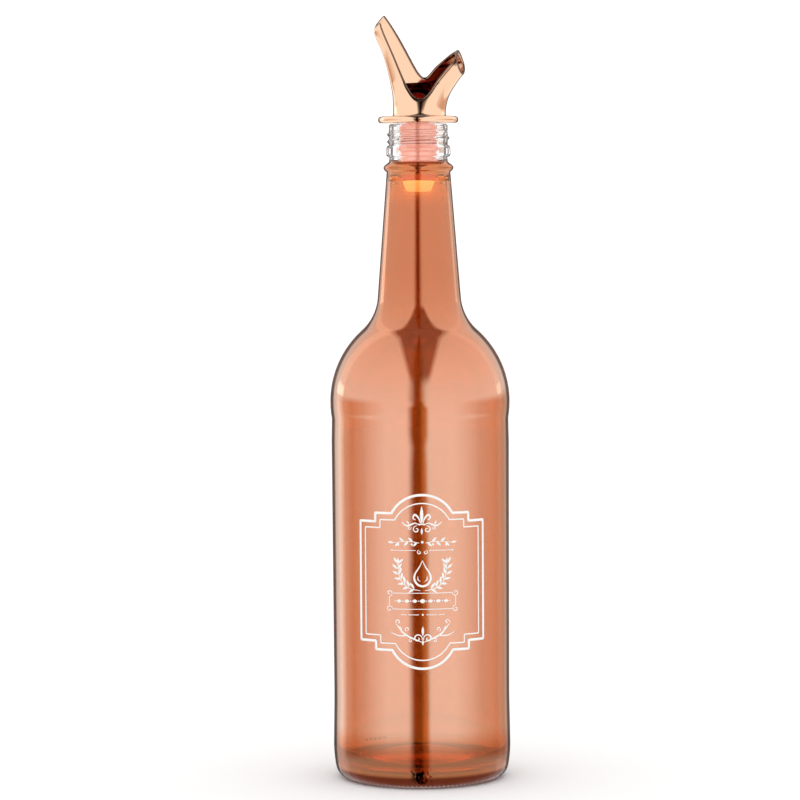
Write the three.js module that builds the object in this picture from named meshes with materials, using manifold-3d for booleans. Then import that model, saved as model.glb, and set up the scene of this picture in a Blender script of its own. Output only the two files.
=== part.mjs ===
// Oil bottle: a tall glass bottle with a screw-thread finish, a plated pourer head with one long
// and one short horn, and the tapered plug that holds the head in the neck.
// Units are millimetres and +Z is up. The origin is the middle of the base, on the surface that
// the bottle stands on. The front faces -Y, and the long horn leans towards -X.

import * as THREE from "three";
import { mergeVertices } from "three/addons/utils/BufferGeometryUtils.js";
import Module from "manifold-3d";

const wasm = await Module();
wasm.setup();

// Fit between pieces that touch in the real object.
const GAP = 0.3;

// Number of flat sides round the glass, the flange and the plug.
const GLASS_SIDES = 40;
const FLANGE_SIDES = 40;
const PLUG_SIDES = 28;

// Glass heights, from the base up.
const LIP_Z = 286.3;
const BEAD_LOW_Z = 272.2;
const BEAD_HIGH_Z = 276.9;
const RING_LOW_Z = 265.4;
const RING_CREST_Z = 267.4;
const RING_HIGH_Z = 269.9;
const NECK_FOOT_Z = 214;
const SHOULDER_Z = 165.3;
const PANEL_HIGH_Z = 148;
const PANEL_LOW_Z = 36;
const HEEL_Z = 15;

// Glass radii.
const BODY_R = 39.3;
const PANEL_HIGH_R = 38.87;
const PANEL_LOW_R = 38.5;
const HEEL_R = 38.85;
const FOOT_OUTER_R = 32;
const FOOT_INNER_R = 29;
const NECK_FOOT_R = 17.97;
const NECK_TOP_R = 13.94;
const RING_R = 15.4;
const BEAD_R = 14.1;
const FINISH_R = 12.84;
const BORE_R = 9.2;

// Glass curves and walls.
const SHOULDER_ARC = 42;
const NECK_ARC = 21;
const HEEL_ARC = 6;
const PUNT_RISE = 8;
const WALL = 3;
const FLOOR_Z = 7;
const FLOOR_CORNER = 9;
const FLOOR_RISE = 6;
const LIP_ROUND = 1;
const BORE_LOW_Z = 262;

// The screw thread on the finish.
const THREAD_TURNS = 2;
const THREAD_TOP_Z = 283.3;
const THREAD_PITCH = 3.1;
const THREAD_CREST_R = 13.67;
const THREAD_ROUND = 1;

// The pourer head.
const FLANGE_R = 17.5;
const FLANGE_THICK = 3;
const FLANGE_Z = LIP_Z + GAP;
const HEAD_Z = FLANGE_Z + FLANGE_THICK;
const HEAD_TOP_Z = 336;
const HEAD_WALL = 1.3;
const HEAD_LEVELS = 22;
const HEAD_SIDES = 36;
const THROAT_R = 5;
const THROAT_FLOOR = 1.6;
const ROOF_START_X = 15.9;
const RIM_STEPS = 27;

// The round spout that the short horn ends in, widening back towards the fork.
const SPOUT_END = [18.7, 313.3];
const SPOUT_RISE = 39.7;
const SPOUT_R = 6.6;
const SPOUT_FLARE = 0.25;
const SPOUT_START_X = 3;

// The plug.
const PLUG_TOP_R = 8.4;
const PLUG_LOW_R = 7.4;
const PLUG_LOW_Z = 262.4;
const PLUG_END_R = 5.4;
const PLUG_END_Z = 257.9;
const PLUG_CHAMFER_R = 6.8;
const PLUG_BORE_R = 4.2;
const RIB_R = BORE_R - GAP;
const RIB_HEIGHT = 1.6;
const RIB_LEVELS = [280.6, 275, 269.4];

const copperGlass = new THREE.MeshStandardMaterial({
  color: 0xd98c6c,
  roughness: 0.08,
  metalness: 0.4,
  transparent: true,
  opacity: 0.75,
});
const roseGold = new THREE.MeshStandardMaterial({ color: 0xf6c3a4, roughness: 0.12, metalness: 1 });
const rosePlastic = new THREE.MeshStandardMaterial({ color: 0xee8a72, roughness: 0.4, metalness: 0 });

// Points on an arc about a centre in the profile plane, between two angles in degrees.
function arc(centreR, centreZ, radius, from, to, steps) {
  return Array.from({ length: steps + 1 }, (unused, i) => {
    const angle = THREE.MathUtils.degToRad(from + ((to - from) * i) / steps);
    return new THREE.Vector2(centreR + radius * Math.cos(angle), centreZ + radius * Math.sin(angle));
  });
}

// A shallow dome over a disc, as profile points from the axis out to the disc's edge.
function dome(edgeR, edgeZ, rise, steps) {
  const radius = (edgeR ** 2 + rise ** 2) / (2 * rise);
  const edgeAngle = THREE.MathUtils.radToDeg(Math.acos(edgeR / radius));
  return arc(0, edgeZ + rise - radius, radius, 90, edgeAngle, steps);
}

function profile(points) {
  return points.map(([r, z]) => new THREE.Vector2(r, z));
}

// A closed mesh's geometry as a solid that can be joined and cut.
function toSolid(geometry) {
  const bare = geometry.index ? geometry.toNonIndexed() : geometry.clone();
  bare.deleteAttribute("normal");
  bare.deleteAttribute("uv");
  const merged = mergeVertices(bare, 1e-4);
  const vertProperties = new Float32Array(merged.attributes.position.array);
  const triVerts = new Uint32Array(merged.index.array);
  return new wasm.Manifold(new wasm.Mesh({ numProp: 3, vertProperties, triVerts }));
}

function toMesh(name, solid, material) {
  const cut = solid.getMesh();
  const positions = new Float32Array(cut.numVert * 3);
  for (let i = 0; i < cut.numVert; i++) {
    const start = i * cut.numProp;
    positions.set(cut.vertProperties.subarray(start, start + 3), i * 3);
  }
  const geometry = new THREE.BufferGeometry();
  geometry.setAttribute("position", new THREE.BufferAttribute(positions, 3));
  geometry.setIndex(new THREE.BufferAttribute(new Uint32Array(cut.triVerts), 1));
  geometry.computeVertexNormals();
  const mesh = new THREE.Mesh(geometry, material);
  mesh.name = name;
  return mesh;
}

// A solid of revolution about +Z, from a profile that starts and ends on the axis or closes.
function turned(points, sides) {
  const geometry = new THREE.LatheGeometry(points, sides);
  geometry.rotateX(Math.PI / 2);
  return toSolid(geometry);
}

// A solid skin through rings of points, one ring above the other, with flat ends.
function loft(rings) {
  const sides = rings[0].length;
  const positions = rings.flat().flatMap((point) => [point.x, point.y, point.z]);
  const index = [];
  for (let level = 0; level < rings.length - 1; level++) {
    for (let i = 0; i < sides; i++) {
      const a = level * sides + i;
      const b = level * sides + ((i + 1) % sides);
      index.push(a, b, b + sides, a, b + sides, a + sides);
    }
  }
  const topStart = (rings.length - 1) * sides;
  const flat = rings[0].map((point) => new THREE.Vector2(point.x, point.y));
  for (const [a, b, c] of THREE.ShapeUtils.triangulateShape(flat, [])) {
    index.push(a, c, b, topStart + a, topStart + b, topStart + c);
  }
  const geometry = new THREE.BufferGeometry();
  geometry.setAttribute("position", new THREE.Float32BufferAttribute(positions, 3));
  geometry.setIndex(index);
  return toSolid(geometry);
}

// The two arcs between the body and the neck. The upper one is tangent to the neck's straight
// side and to the shoulder arc, which fixes the angle at which they meet.
function shoulderArcs() {
  const lean = Math.atan((NECK_FOOT_R - NECK_TOP_R) / (RING_LOW_Z - NECK_FOOT_Z));
  const shoulderCentreR = BODY_R - SHOULDER_ARC;
  const offset =
    (shoulderCentreR - NECK_FOOT_R) * Math.cos(lean) + (SHOULDER_Z - NECK_FOOT_Z) * Math.sin(lean);
  const reach = SHOULDER_ARC + NECK_ARC;
  const meeting = lean + Math.acos((NECK_ARC - offset) / reach);
  return {
    shoulderCentreR,
    neckCentreR: shoulderCentreR + reach * Math.cos(meeting),
    neckCentreZ: SHOULDER_Z + reach * Math.sin(meeting),
    meeting: THREE.MathUtils.radToDeg(meeting),
    lean: THREE.MathUtils.radToDeg(lean),
  };
}

// The outside of the glass, from the middle of the hollow underside up to the lip.
function glassOutside() {
  const curve = shoulderArcs();
  const heelTurn = 10.6;
  const heelRadius = (HEEL_Z - HEEL_ARC * (1 - Math.sin(THREE.MathUtils.degToRad(heelTurn)))) /
    Math.sin(THREE.MathUtils.degToRad(heelTurn));
  return [
    ...dome(FOOT_INNER_R, 0, PUNT_RISE, 4),
    ...arc(FOOT_OUTER_R, HEEL_ARC, HEEL_ARC, -90, -heelTurn, 5),
    ...arc(HEEL_R - heelRadius, HEEL_Z, heelRadius, -heelTurn / 2, 0, 1),
    ...profile([[PANEL_LOW_R, PANEL_LOW_Z], [PANEL_HIGH_R, PANEL_HIGH_Z]]),
    new THREE.Vector2(BODY_R - 0.1, SHOULDER_Z - 7),
    ...arc(curve.shoulderCentreR, SHOULDER_Z, SHOULDER_ARC, 0, curve.meeting, 9),
    ...arc(curve.neckCentreR, curve.neckCentreZ, NECK_ARC, 180 + curve.meeting, 180 + curve.lean, 5).slice(1),
    ...profile([[NECK_TOP_R, RING_LOW_Z], [RING_R - 0.5, RING_CREST_Z - 1.3], [RING_R, RING_CREST_Z]]),
    ...profile([[RING_R - 0.5, RING_CREST_Z + 0.9], [FINISH_R, RING_HIGH_Z]]),
    ...profile([[FINISH_R - 0.2, BEAD_LOW_Z - 0.4], [BEAD_R - 0.4, BEAD_LOW_Z], [BEAD_R, BEAD_LOW_Z + 1]]),
    ...profile([[BEAD_R - 0.1, BEAD_HIGH_Z - 1], [BEAD_R - 0.6, BEAD_HIGH_Z], [FINISH_R, BEAD_HIGH_Z + 0.3]]),
    ...arc(FINISH_R - LIP_ROUND, LIP_Z - LIP_ROUND, LIP_ROUND, 0, 90, 3),
  ];
}

// The inside of the glass, from the lip down to the middle of the floor.
function glassInside() {
  const curve = shoulderArcs();
  const insideR = BODY_R - WALL;
  const panelR = PANEL_LOW_R - WALL;
  return [
    ...profile([[BORE_R + 0.6, LIP_Z], [BORE_R, LIP_Z - 0.6], [BORE_R, BORE_LOW_Z]]),
    ...arc(curve.neckCentreR, curve.neckCentreZ, NECK_ARC + WALL, 180 + curve.lean, 180 + curve.meeting, 5),
    ...arc(curve.shoulderCentreR, SHOULDER_Z, SHOULDER_ARC - WALL, curve.meeting, 0, 8).slice(1),
    new THREE.Vector2((insideR + panelR) / 2, PANEL_HIGH_Z),
    ...arc(panelR - FLOOR_CORNER, FLOOR_Z + FLOOR_CORNER, FLOOR_CORNER, 0, -90, 5),
    ...dome(panelR - FLOOR_CORNER, FLOOR_Z, FLOOR_RISE, 4).reverse().slice(1),
  ];
}

// The middle line of the thread, a right-handed helix that climbs with its angle.
class ThreadPath extends THREE.Curve {
  getPoint(t, target = new THREE.Vector3()) {
    const angle = THREAD_TURNS * 2 * Math.PI * t;
    const radius = THREAD_CREST_R - THREAD_ROUND;
    const z = THREAD_TOP_Z - THREAD_TURNS * THREAD_PITCH * (1 - t);
    return target.set(radius * Math.cos(angle), radius * Math.sin(angle), z);
  }
}

function thread() {
  const section = new THREE.Shape(new THREE.Path().absarc(0, 0, THREAD_ROUND, 0, 2 * Math.PI).getPoints(4));
  const stepsPerTurn = 24;
  const sweep = new THREE.ExtrudeGeometry(section, {
    steps: stepsPerTurn * THREAD_TURNS,
    extrudePath: new ThreadPath(),
  });
  return toSolid(sweep);
}

function glassBottle() {
  const glass = turned([...glassOutside(), ...glassInside()], GLASS_SIDES);
  return toMesh("bottle", glass.add(thread()), copperGlass);
}

// A size of the head that changes with height, as a smooth curve through [height, size] pairs.
function heightCurve(pairs) {
  const spline = new THREE.SplineCurve(pairs.map(([z, size]) => new THREE.Vector2(z, size)));
  const samples = spline.getPoints(pairs.length * 12);
  return (z) => {
    const next = samples.findIndex((sample) => sample.x >= z);
    if (next < 0) return samples[samples.length - 1].y;
    if (next === 0) return samples[0].y;
    const [low, high] = [samples[next - 1], samples[next]];
    return THREE.MathUtils.mapLinear(z, low.x, high.x, low.y, high.y);
  };
}

// The head's level sections: the left and right edges, the place of the ridge that runs up the
// front and the back, the half depth there, and how square the section is (2 is an ellipse).
const leftEdge = heightCurve([
  [288, -10.95], [297.6, -11.05], [302.8, -11.8], [308.1, -12.9], [313.3, -14.2], [318.5, -15.9],
  [322.8, -17.9], [326.3, -19], [329, -18.8], [331.5, -18.2], [334, -17.4], [336, -16.8],
]);
const rightEdge = heightCurve([
  [288, 12.1], [292.4, 12.15], [295, 12.6], [297.6, 13.35], [300.3, 14.6], [302.9, 16.3],
  [305.5, 18.1], [308.1, 20.3], [312, 23.8], [322, 33], [336, 45],
]);
const ridge = heightCurve([[288, 0.9], [298.5, 2.9], [305.5, 9.1], [313, 15.4], [320, 21], [336, 33]]);
const halfDepth = heightCurve([[288, 11.4], [291, 11.3], [298, 9.4], [303, 7.9], [308, 7.2], [336, 6.6]]);
const squareness = heightCurve([[288, 2], [293, 2], [303, 2.4], [336, 2.6]]);

// One level section of the head, drawn in by an inset.
function headRing(z, inset) {
  const middle = ridge(z);
  const power = 2 / squareness(z);
  return Array.from({ length: HEAD_SIDES }, (unused, i) => {
    const angle = (2 * Math.PI * i) / HEAD_SIDES;
    const [across, along] = [Math.cos(angle), Math.sin(angle)];
    const reach = across > 0 ? rightEdge(z) - middle : middle - leftEdge(z);
    const x = middle + Math.sign(across) * Math.abs(across) ** power * (reach - inset);
    const y = Math.sign(along) * Math.abs(along) ** power * (halfDepth(z) - inset);
    return new THREE.Vector3(x, y, z);
  });
}

function headBody(lowZ, inset) {
  const rings = [];
  for (let level = 0; level <= HEAD_LEVELS; level++) {
    rings.push(headRing(THREE.MathUtils.lerp(lowZ, HEAD_TOP_Z, level / HEAD_LEVELS), inset));
  }
  return loft(rings);
}

// The rim of the opening between the horns, as [x, z] along the front and the back of the head.
// The front runs lower than the back, so the opening looks up and forwards.
const RIM_FRONT_Y = -6;
const RIM_BACK_Y = 6.5;
const RIM_FRONT = [
  [-20.9, 337.2], [-18.4, 330.6], [-12.4, 317], [-6.6, 305.5], [-3.2, 301.2], [0.6, 298.9],
  [4.3, 300.6], [9.1, 306.5], [15.5, 313.4], [25, 320],
];
const RIM_BACK = [
  [-13.6, 337.3], [-11.9, 333.9], [-5.3, 321.4], [-0.5, 311], [1.5, 307.7], [2.8, 306.8],
  [4.3, 307.5], [8.6, 312.4], [16.3, 319.7], [25, 322.5],
];
const RIM_SKY_Z = 350;

function smoothRim(points) {
  const spline = new THREE.SplineCurve(points.map(([x, z]) => new THREE.Vector2(x, z)));
  return spline.getPoints(RIM_STEPS);
}

// What is taken away between the horns: all that lies above a surface ruled from the front rim
// to the back rim. A drop moves that surface down and to the right.
function openingCutter(drop = 0) {
  const reachY = 9.7;
  const back = smoothRim(RIM_BACK);
  const slice = (y) => {
    const t = (y - RIM_FRONT_Y) / (RIM_BACK_Y - RIM_FRONT_Y);
    const rim = smoothRim(RIM_FRONT).map((point, i) => {
      const shared = point.lerp(back[i], t);
      return [shared.x + drop, shared.y - drop];
    });
    const outline = [...rim, [rim[rim.length - 1][0], RIM_SKY_Z], [rim[0][0], RIM_SKY_Z]];
    return outline.map(([x, z]) => new THREE.Vector3(x, -z, y));
  };
  const cutter = loft([slice(-reachY), slice(reachY)].map((ring) => ring.reverse()));
  return cutter.rotate([-90, 0, 0]);
}

// A big block on the outer side of a plane, to trim a solid with.
function halfSpace(point, normal) {
  const size = 120;
  const block = new THREE.BoxGeometry(size, size, size);
  block.translate(0, 0, size / 2);
  const turn = new THREE.Quaternion().setFromUnitVectors(new THREE.Vector3(0, 0, 1), normal.normalize());
  block.applyQuaternion(turn);
  block.translate(point.x, point.y, point.z);
  return toSolid(block);
}

// What lies above and outside the spout's round, drawn in by an inset.
function spoutCutter(inset) {
  const rise = THREE.MathUtils.degToRad(SPOUT_RISE);
  const end = new THREE.Vector3(SPOUT_END[0], 0, SPOUT_END[1]);
  const [back, ahead] = [-34, 14];
  const radiusAt = (along) => SPOUT_R - inset - SPOUT_FLARE * along;
  const side = profile([[0, back], [radiusAt(back), back], [radiusAt(ahead), ahead], [0, ahead]]);
  const cone = turned(side, HEAD_SIDES)
    .rotate([0, 90 - SPOUT_RISE, 0])
    .translate([end.x, end.y, end.z]);
  const above = halfSpace(end, new THREE.Vector3(-Math.sin(rise), 0, Math.cos(rise)));
  const inFront = halfSpace(new THREE.Vector3(SPOUT_START_X, 0, HEAD_Z), new THREE.Vector3(1, 0, 0));
  return above.intersect(inFront).subtract(cone);
}

function pourerHead() {
  const mouth = halfSpace(new THREE.Vector3(18.7, 0, 313.5), new THREE.Vector3(0.93, -0.24, 0.28));
  const tip = halfSpace(new THREE.Vector3(-14.2, 3.7, 335.4), new THREE.Vector3(-0.745, -0.196, 0.637));
  const roofSide = halfSpace(new THREE.Vector3(ROOF_START_X, 0, HEAD_Z), new THREE.Vector3(1, 0, 0));
  const roof = openingCutter(HEAD_WALL * Math.SQRT1_2).intersect(roofSide);
  const hollow = headBody(HEAD_Z + THROAT_FLOOR, HEAD_WALL)
    .subtract(roof)
    .subtract(spoutCutter(HEAD_WALL));
  const edge = FLANGE_THICK / 2 - 0.2;
  const flange = turned(
    [
      ...profile([[0, FLANGE_Z], [FLANGE_R - edge, FLANGE_Z]]),
      ...arc(FLANGE_R - edge, FLANGE_Z + edge, edge, -60, 0, 2),
      ...arc(FLANGE_R - edge, HEAD_Z - edge, edge, 0, 90, 3),
      new THREE.Vector2(0, HEAD_Z),
    ],
    FLANGE_SIDES,
  );
  const throat = turned(
    profile([[0, FLANGE_Z - 1], [THROAT_R, FLANGE_Z - 1], [THROAT_R, HEAD_Z + 3], [0, HEAD_Z + 3]]),
    PLUG_SIDES,
  );
  const head = headBody(HEAD_Z - 1, 0)
    .subtract(openingCutter())
    .subtract(spoutCutter(0))
    .subtract(mouth)
    .subtract(tip)
    .subtract(hollow)
    .add(flange)
    .subtract(throat);
  return toMesh("pourer_head", head, roseGold);
}

// The plug under the flange: a tapered tube with three sealing ribs and a bevelled end.
function stopperPlug() {
  const topZ = FLANGE_Z - GAP;
  const sideAt = (z) => THREE.MathUtils.mapLinear(z, PLUG_LOW_Z, topZ, PLUG_LOW_R, PLUG_TOP_R);
  const ribs = [...RIB_LEVELS].reverse().flatMap((z) => [
    [sideAt(z), z - RIB_HEIGHT / 2],
    [RIB_R, z - RIB_HEIGHT / 4],
    [RIB_R, z + RIB_HEIGHT / 4],
    [sideAt(z), z + RIB_HEIGHT / 2],
  ]);
  const section = [
    [PLUG_BORE_R, PLUG_END_Z],
    [PLUG_END_R, PLUG_END_Z],
    [PLUG_CHAMFER_R, PLUG_LOW_Z - 0.8],
    [PLUG_LOW_R, PLUG_LOW_Z],
    ...ribs,
    [PLUG_TOP_R, topZ],
    [PLUG_BORE_R, topZ],
    [PLUG_BORE_R, PLUG_END_Z],
  ];
  return toMesh("stopper_plug", turned(profile(section), PLUG_SIDES), rosePlastic);
}

const oilBottle = new THREE.Group();
oilBottle.add(glassBottle(), pourerHead(), stopperPlug());

export default oilBottle;
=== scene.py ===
"""An oil bottle in glass with a coppery coat, with a plated pourer head on a ribbed plug.

Sizes are named in millimetres and turned into metres where a mesh is made. +Z is up, the front
faces -Y, and the long horn of the pourer leans towards -X.
"""

import logging
import math
from collections.abc import Callable, Sequence
from dataclasses import dataclass, field
from enum import Enum
from functools import cached_property

import bmesh
import bpy
import numpy as np
from mathutils import Matrix


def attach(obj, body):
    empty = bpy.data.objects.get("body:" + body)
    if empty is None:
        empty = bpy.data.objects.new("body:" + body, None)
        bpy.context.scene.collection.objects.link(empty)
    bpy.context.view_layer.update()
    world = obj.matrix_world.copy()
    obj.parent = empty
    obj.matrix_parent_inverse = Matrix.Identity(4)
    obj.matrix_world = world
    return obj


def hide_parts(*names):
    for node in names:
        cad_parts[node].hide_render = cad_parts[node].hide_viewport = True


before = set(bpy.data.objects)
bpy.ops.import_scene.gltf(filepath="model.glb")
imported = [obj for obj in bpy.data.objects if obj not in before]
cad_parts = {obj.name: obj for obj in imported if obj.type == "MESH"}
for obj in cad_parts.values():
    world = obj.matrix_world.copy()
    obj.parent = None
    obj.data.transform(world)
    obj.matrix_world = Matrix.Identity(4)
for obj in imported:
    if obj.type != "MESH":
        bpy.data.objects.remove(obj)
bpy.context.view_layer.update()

log = logging.getLogger("oil_bottle")

MM = 0.001
ROOT = "root"
Colour = tuple[float, float, float]
Point = tuple[float, float]
Spot = tuple[float, float, float]
Field = Callable[[np.ndarray, np.ndarray, np.ndarray], np.ndarray]


class Slot(Enum):
    """The record's material slots."""

    GLASS = "copper_glass"
    PLATING = "rose_gold"
    PLASTIC = "rose_plastic"
    PRINT = "white_print"


# ---------------------------------------------------------------- node trees


class Term:
    """A number socket in a node tree that takes part in Python sums."""

    def __init__(self, graph: "Graph", socket: bpy.types.NodeSocket) -> None:
        """Wraps one output socket.

        Args:
            graph: the tree that the socket belongs to.
            socket: the output socket.
        """
        self.graph = graph
        self.socket = socket

    def _math(self, operation: str, *others: "float | Term") -> "Term":
        """Adds one Math node with this term first."""
        return self.graph.math(operation, self, *others)

    def __add__(self, other: "float | Term") -> "Term":
        """Returns self + other."""
        return self._math("ADD", other)

    __radd__ = __add__

    def __sub__(self, other: "float | Term") -> "Term":
        """Returns self - other."""
        return self._math("SUBTRACT", other)

    def __rsub__(self, other: "float | Term") -> "Term":
        """Returns other - self."""
        return self.graph.math("SUBTRACT", other, self)

    def __mul__(self, other: "float | Term") -> "Term":
        """Returns self * other."""
        return self._math("MULTIPLY", other)

    __rmul__ = __mul__

    def __truediv__(self, other: "float | Term") -> "Term":
        """Returns self / other."""
        return self._math("DIVIDE", other)

    def __pow__(self, other: "float | Term") -> "Term":
        """Returns self to the power of other."""
        return self._math("POWER", other)

    def __neg__(self) -> "Term":
        """Returns -self."""
        return self._math("MULTIPLY", -1.0)

    def __abs__(self) -> "Term":
        """Returns the size of self."""
        return self._math("ABSOLUTE")

    def above(self, other: "float | Term") -> "Term":
        """Returns 1 where self is over other, and else 0."""
        return self._math("GREATER_THAN", other)

    def at_least(self, other: "float | Term") -> "Term":
        """Returns the larger of self and other."""
        return self._math("MAXIMUM", other)

    def at_most(self, other: "float | Term") -> "Term":
        """Returns the smaller of self and other."""
        return self._math("MINIMUM", other)

    def held(self) -> "Term":
        """Returns self, held between 0 and 1."""
        return self.at_least(0.0).at_most(1.0)

    def step(self, low: float, high: float) -> "Term":
        """Returns a smooth climb from 0 at low to 1 at high."""
        t = ((self - low) / (high - low)).held()
        return t * t * (3.0 - 2.0 * t)

    def band(self, start: Point, end: Point) -> "Term":
        """Returns a smooth climb to 1 over the first pair and a fall back to 0 over the second."""
        return self.step(*start) * (1.0 - self.step(*end))


class Graph:
    """One node tree, with short ways to add and link its nodes."""

    def __init__(self, tree: bpy.types.NodeTree) -> None:
        """Keeps the tree."""
        self.tree = tree

    def node(self, kind: str, settings: dict | None = None, inputs: dict | None = None) -> bpy.types.Node:
        """Adds one node.

        Args:
            kind: the node's type.
            settings: values of the node's own settings, set first. "stops" fills a ramp.
            inputs: values or sources of its sockets, by name or by index.

        Returns:
            The node.
        """
        made = self.tree.nodes.new(kind)
        for name, value in (settings or {}).items():
            if name == "stops":
                self._fill_ramp(made.color_ramp, value)
            else:
                setattr(made, name, value)
        for name, value in (inputs or {}).items():
            self.feed(made.inputs[name], value)
        return made

    def feed(self, socket: bpy.types.NodeSocket, value: object) -> None:
        """Links a source to a socket, or sets the socket's own value.

        Args:
            socket: the input socket.
            value: a Term, a socket, or a plain value.
        """
        if isinstance(value, Term):
            value = value.socket
        if isinstance(value, bpy.types.NodeSocket):
            self.tree.links.new(value, socket)
        else:
            socket.default_value = value

    def math(self, operation: str, *values: "float | Term") -> Term:
        """Adds one Math node and returns its result as a Term."""
        made = self.node("ShaderNodeMath", {"operation": operation}, dict(enumerate(values)))
        return Term(self, made.outputs[0])

    def term(self, kind: str, output: str | int, settings: dict | None = None, inputs: dict | None = None) -> Term:
        """Adds one node and returns one of its outputs as a Term."""
        return Term(self, self.node(kind, settings, inputs).outputs[output])

    def out(self, kind: str, inputs: dict | None = None, settings: dict | None = None) -> bpy.types.NodeSocket:
        """Adds one node and returns its first output."""
        return self.node(kind, settings, inputs).outputs[0]

    def mirrored(self) -> Term:
        """Returns 1 for what is seen in gloss, and else 0."""
        return self.term("ShaderNodeLightPath", "Glossy Depth").above(0.5)

    def split(self, vector: bpy.types.NodeSocket) -> tuple[Term, Term, Term]:
        """Returns the three parts of a vector."""
        parts = self.node("ShaderNodeSeparateXYZ", inputs={0: vector}).outputs
        return Term(self, parts["X"]), Term(self, parts["Y"]), Term(self, parts["Z"])

    def join(self, x: "float | Term", y: "float | Term", z: "float | Term") -> bpy.types.NodeSocket:
        """Returns a vector made of three parts."""
        return self.out("ShaderNodeCombineXYZ", {"X": x, "Y": y, "Z": z})

    def mix(self, factor: "float | Term", low: object, high: object) -> bpy.types.NodeSocket:
        """Blends two colours.

        Args:
            factor: 0 gives low and 1 gives high.
            low: a colour or a colour socket.
            high: a colour or a colour socket.

        Returns:
            The blended colour's socket.
        """
        made = self.node("ShaderNodeMix", {"data_type": "RGBA"}, {0: factor})
        self.feed(made.inputs[6], self._rgba(low))
        self.feed(made.inputs[7], self._rgba(high))
        return made.outputs[2]

    @staticmethod
    def _rgba(value: object) -> object:
        """Gives a plain colour its alpha, and leaves a socket as it is."""
        return (*value, 1.0) if isinstance(value, tuple) and len(value) == 3 else value

    @staticmethod
    def _fill_ramp(ramp: bpy.types.ColorRamp, stops: Sequence[tuple[float, float]]) -> None:
        """Sets a ramp's grey stops from (place, level) pairs."""
        while len(ramp.elements) > 1:
            ramp.elements.remove(ramp.elements[-1])
        for i, (place, level) in enumerate(stops):
            element = ramp.elements[0] if i == 0 else ramp.elements.new(place)
            element.position = place
            element.color = (level, level, level, 1.0)


# ---------------------------------------------------------------- finishes


class Paint(Graph):
    """The node tree of one material."""

    def __init__(self, name: str) -> None:
        """Starts a node material.

        Args:
            name: the material's name.
        """
        self.material = bpy.data.materials.new(name)
        self.material.use_nodes = True
        self.material.node_tree.nodes.clear()
        super().__init__(self.material.node_tree)

    @cached_property
    def place(self) -> bpy.types.NodeSocket:
        """The place on the object."""
        return self.node("ShaderNodeTexCoord").outputs["Object"]

    def noise(self, scale: float, detail: float, place: bpy.types.NodeSocket | None = None) -> Term:
        """Adds a noise over the object.

        Args:
            scale: how many waves it has in a metre.
            detail: how many finer layers it has.
            place: where it is read, and else the object's own place.

        Returns:
            The noise, about 0 to 1.
        """
        vector = self.place if place is None else place
        return self.term("ShaderNodeTexNoise", "Fac", inputs={"Vector": vector, "Scale": scale, "Detail": detail})

    def bump(
        self, height: Term, strength: float, depth: float, normal: bpy.types.NodeSocket | None = None
    ) -> bpy.types.NodeSocket:
        """Adds a bump.

        Args:
            height: the height that it follows.
            strength: how strongly it shows.
            depth: its depth, in metres.
            normal: a normal that it builds on.

        Returns:
            The normal.
        """
        inputs = {"Strength": strength, "Distance": depth, "Height": height}
        if normal is not None:
            inputs["Normal"] = normal
        return self.node("ShaderNodeBump", inputs=inputs).outputs["Normal"]

    def principled(self, inputs: dict) -> bpy.types.NodeSocket:
        """Adds one Principled shader with the given inputs."""
        return self.out("ShaderNodeBsdfPrincipled", inputs)

    def glass(self, colour: object, ior: float, normal: bpy.types.NodeSocket) -> bpy.types.NodeSocket:
        """Adds a clear, smooth glass.

        Args:
            colour: the colour that light takes on in it.
            ior: its index of refraction.
            normal: its normal.

        Returns:
            The shader.
        """
        inputs = {"Base Color": self._rgba(colour), "Roughness": 0.0, "IOR": ior}
        return self.principled({**inputs, "Transmission Weight": 1.0, "Normal": normal})

    def finish(self, shader: bpy.types.NodeSocket) -> bpy.types.Material:
        """Links the finished shader, and returns the material."""
        self.feed(self.node("ShaderNodeOutputMaterial").inputs["Surface"], shader)
        return self.material


@dataclass(frozen=True)
class ClearGlass:
    """Bare bottle glass."""

    name: str = "clear_glass"
    tint: Colour = (0.985, 0.98, 0.975)
    ior: float = 1.5
    ripple: float = 0.008
    ripple_depth: float = 0.0006
    ripple_size: float = 55.0

    def make(self) -> bpy.types.Material:
        """Builds the material."""
        paint = Paint(self.name)
        normal = paint.bump(paint.noise(self.ripple_size, 1.0), self.ripple, self.ripple_depth)
        return paint.finish(paint.glass(self.tint, self.ior, normal))


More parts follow.
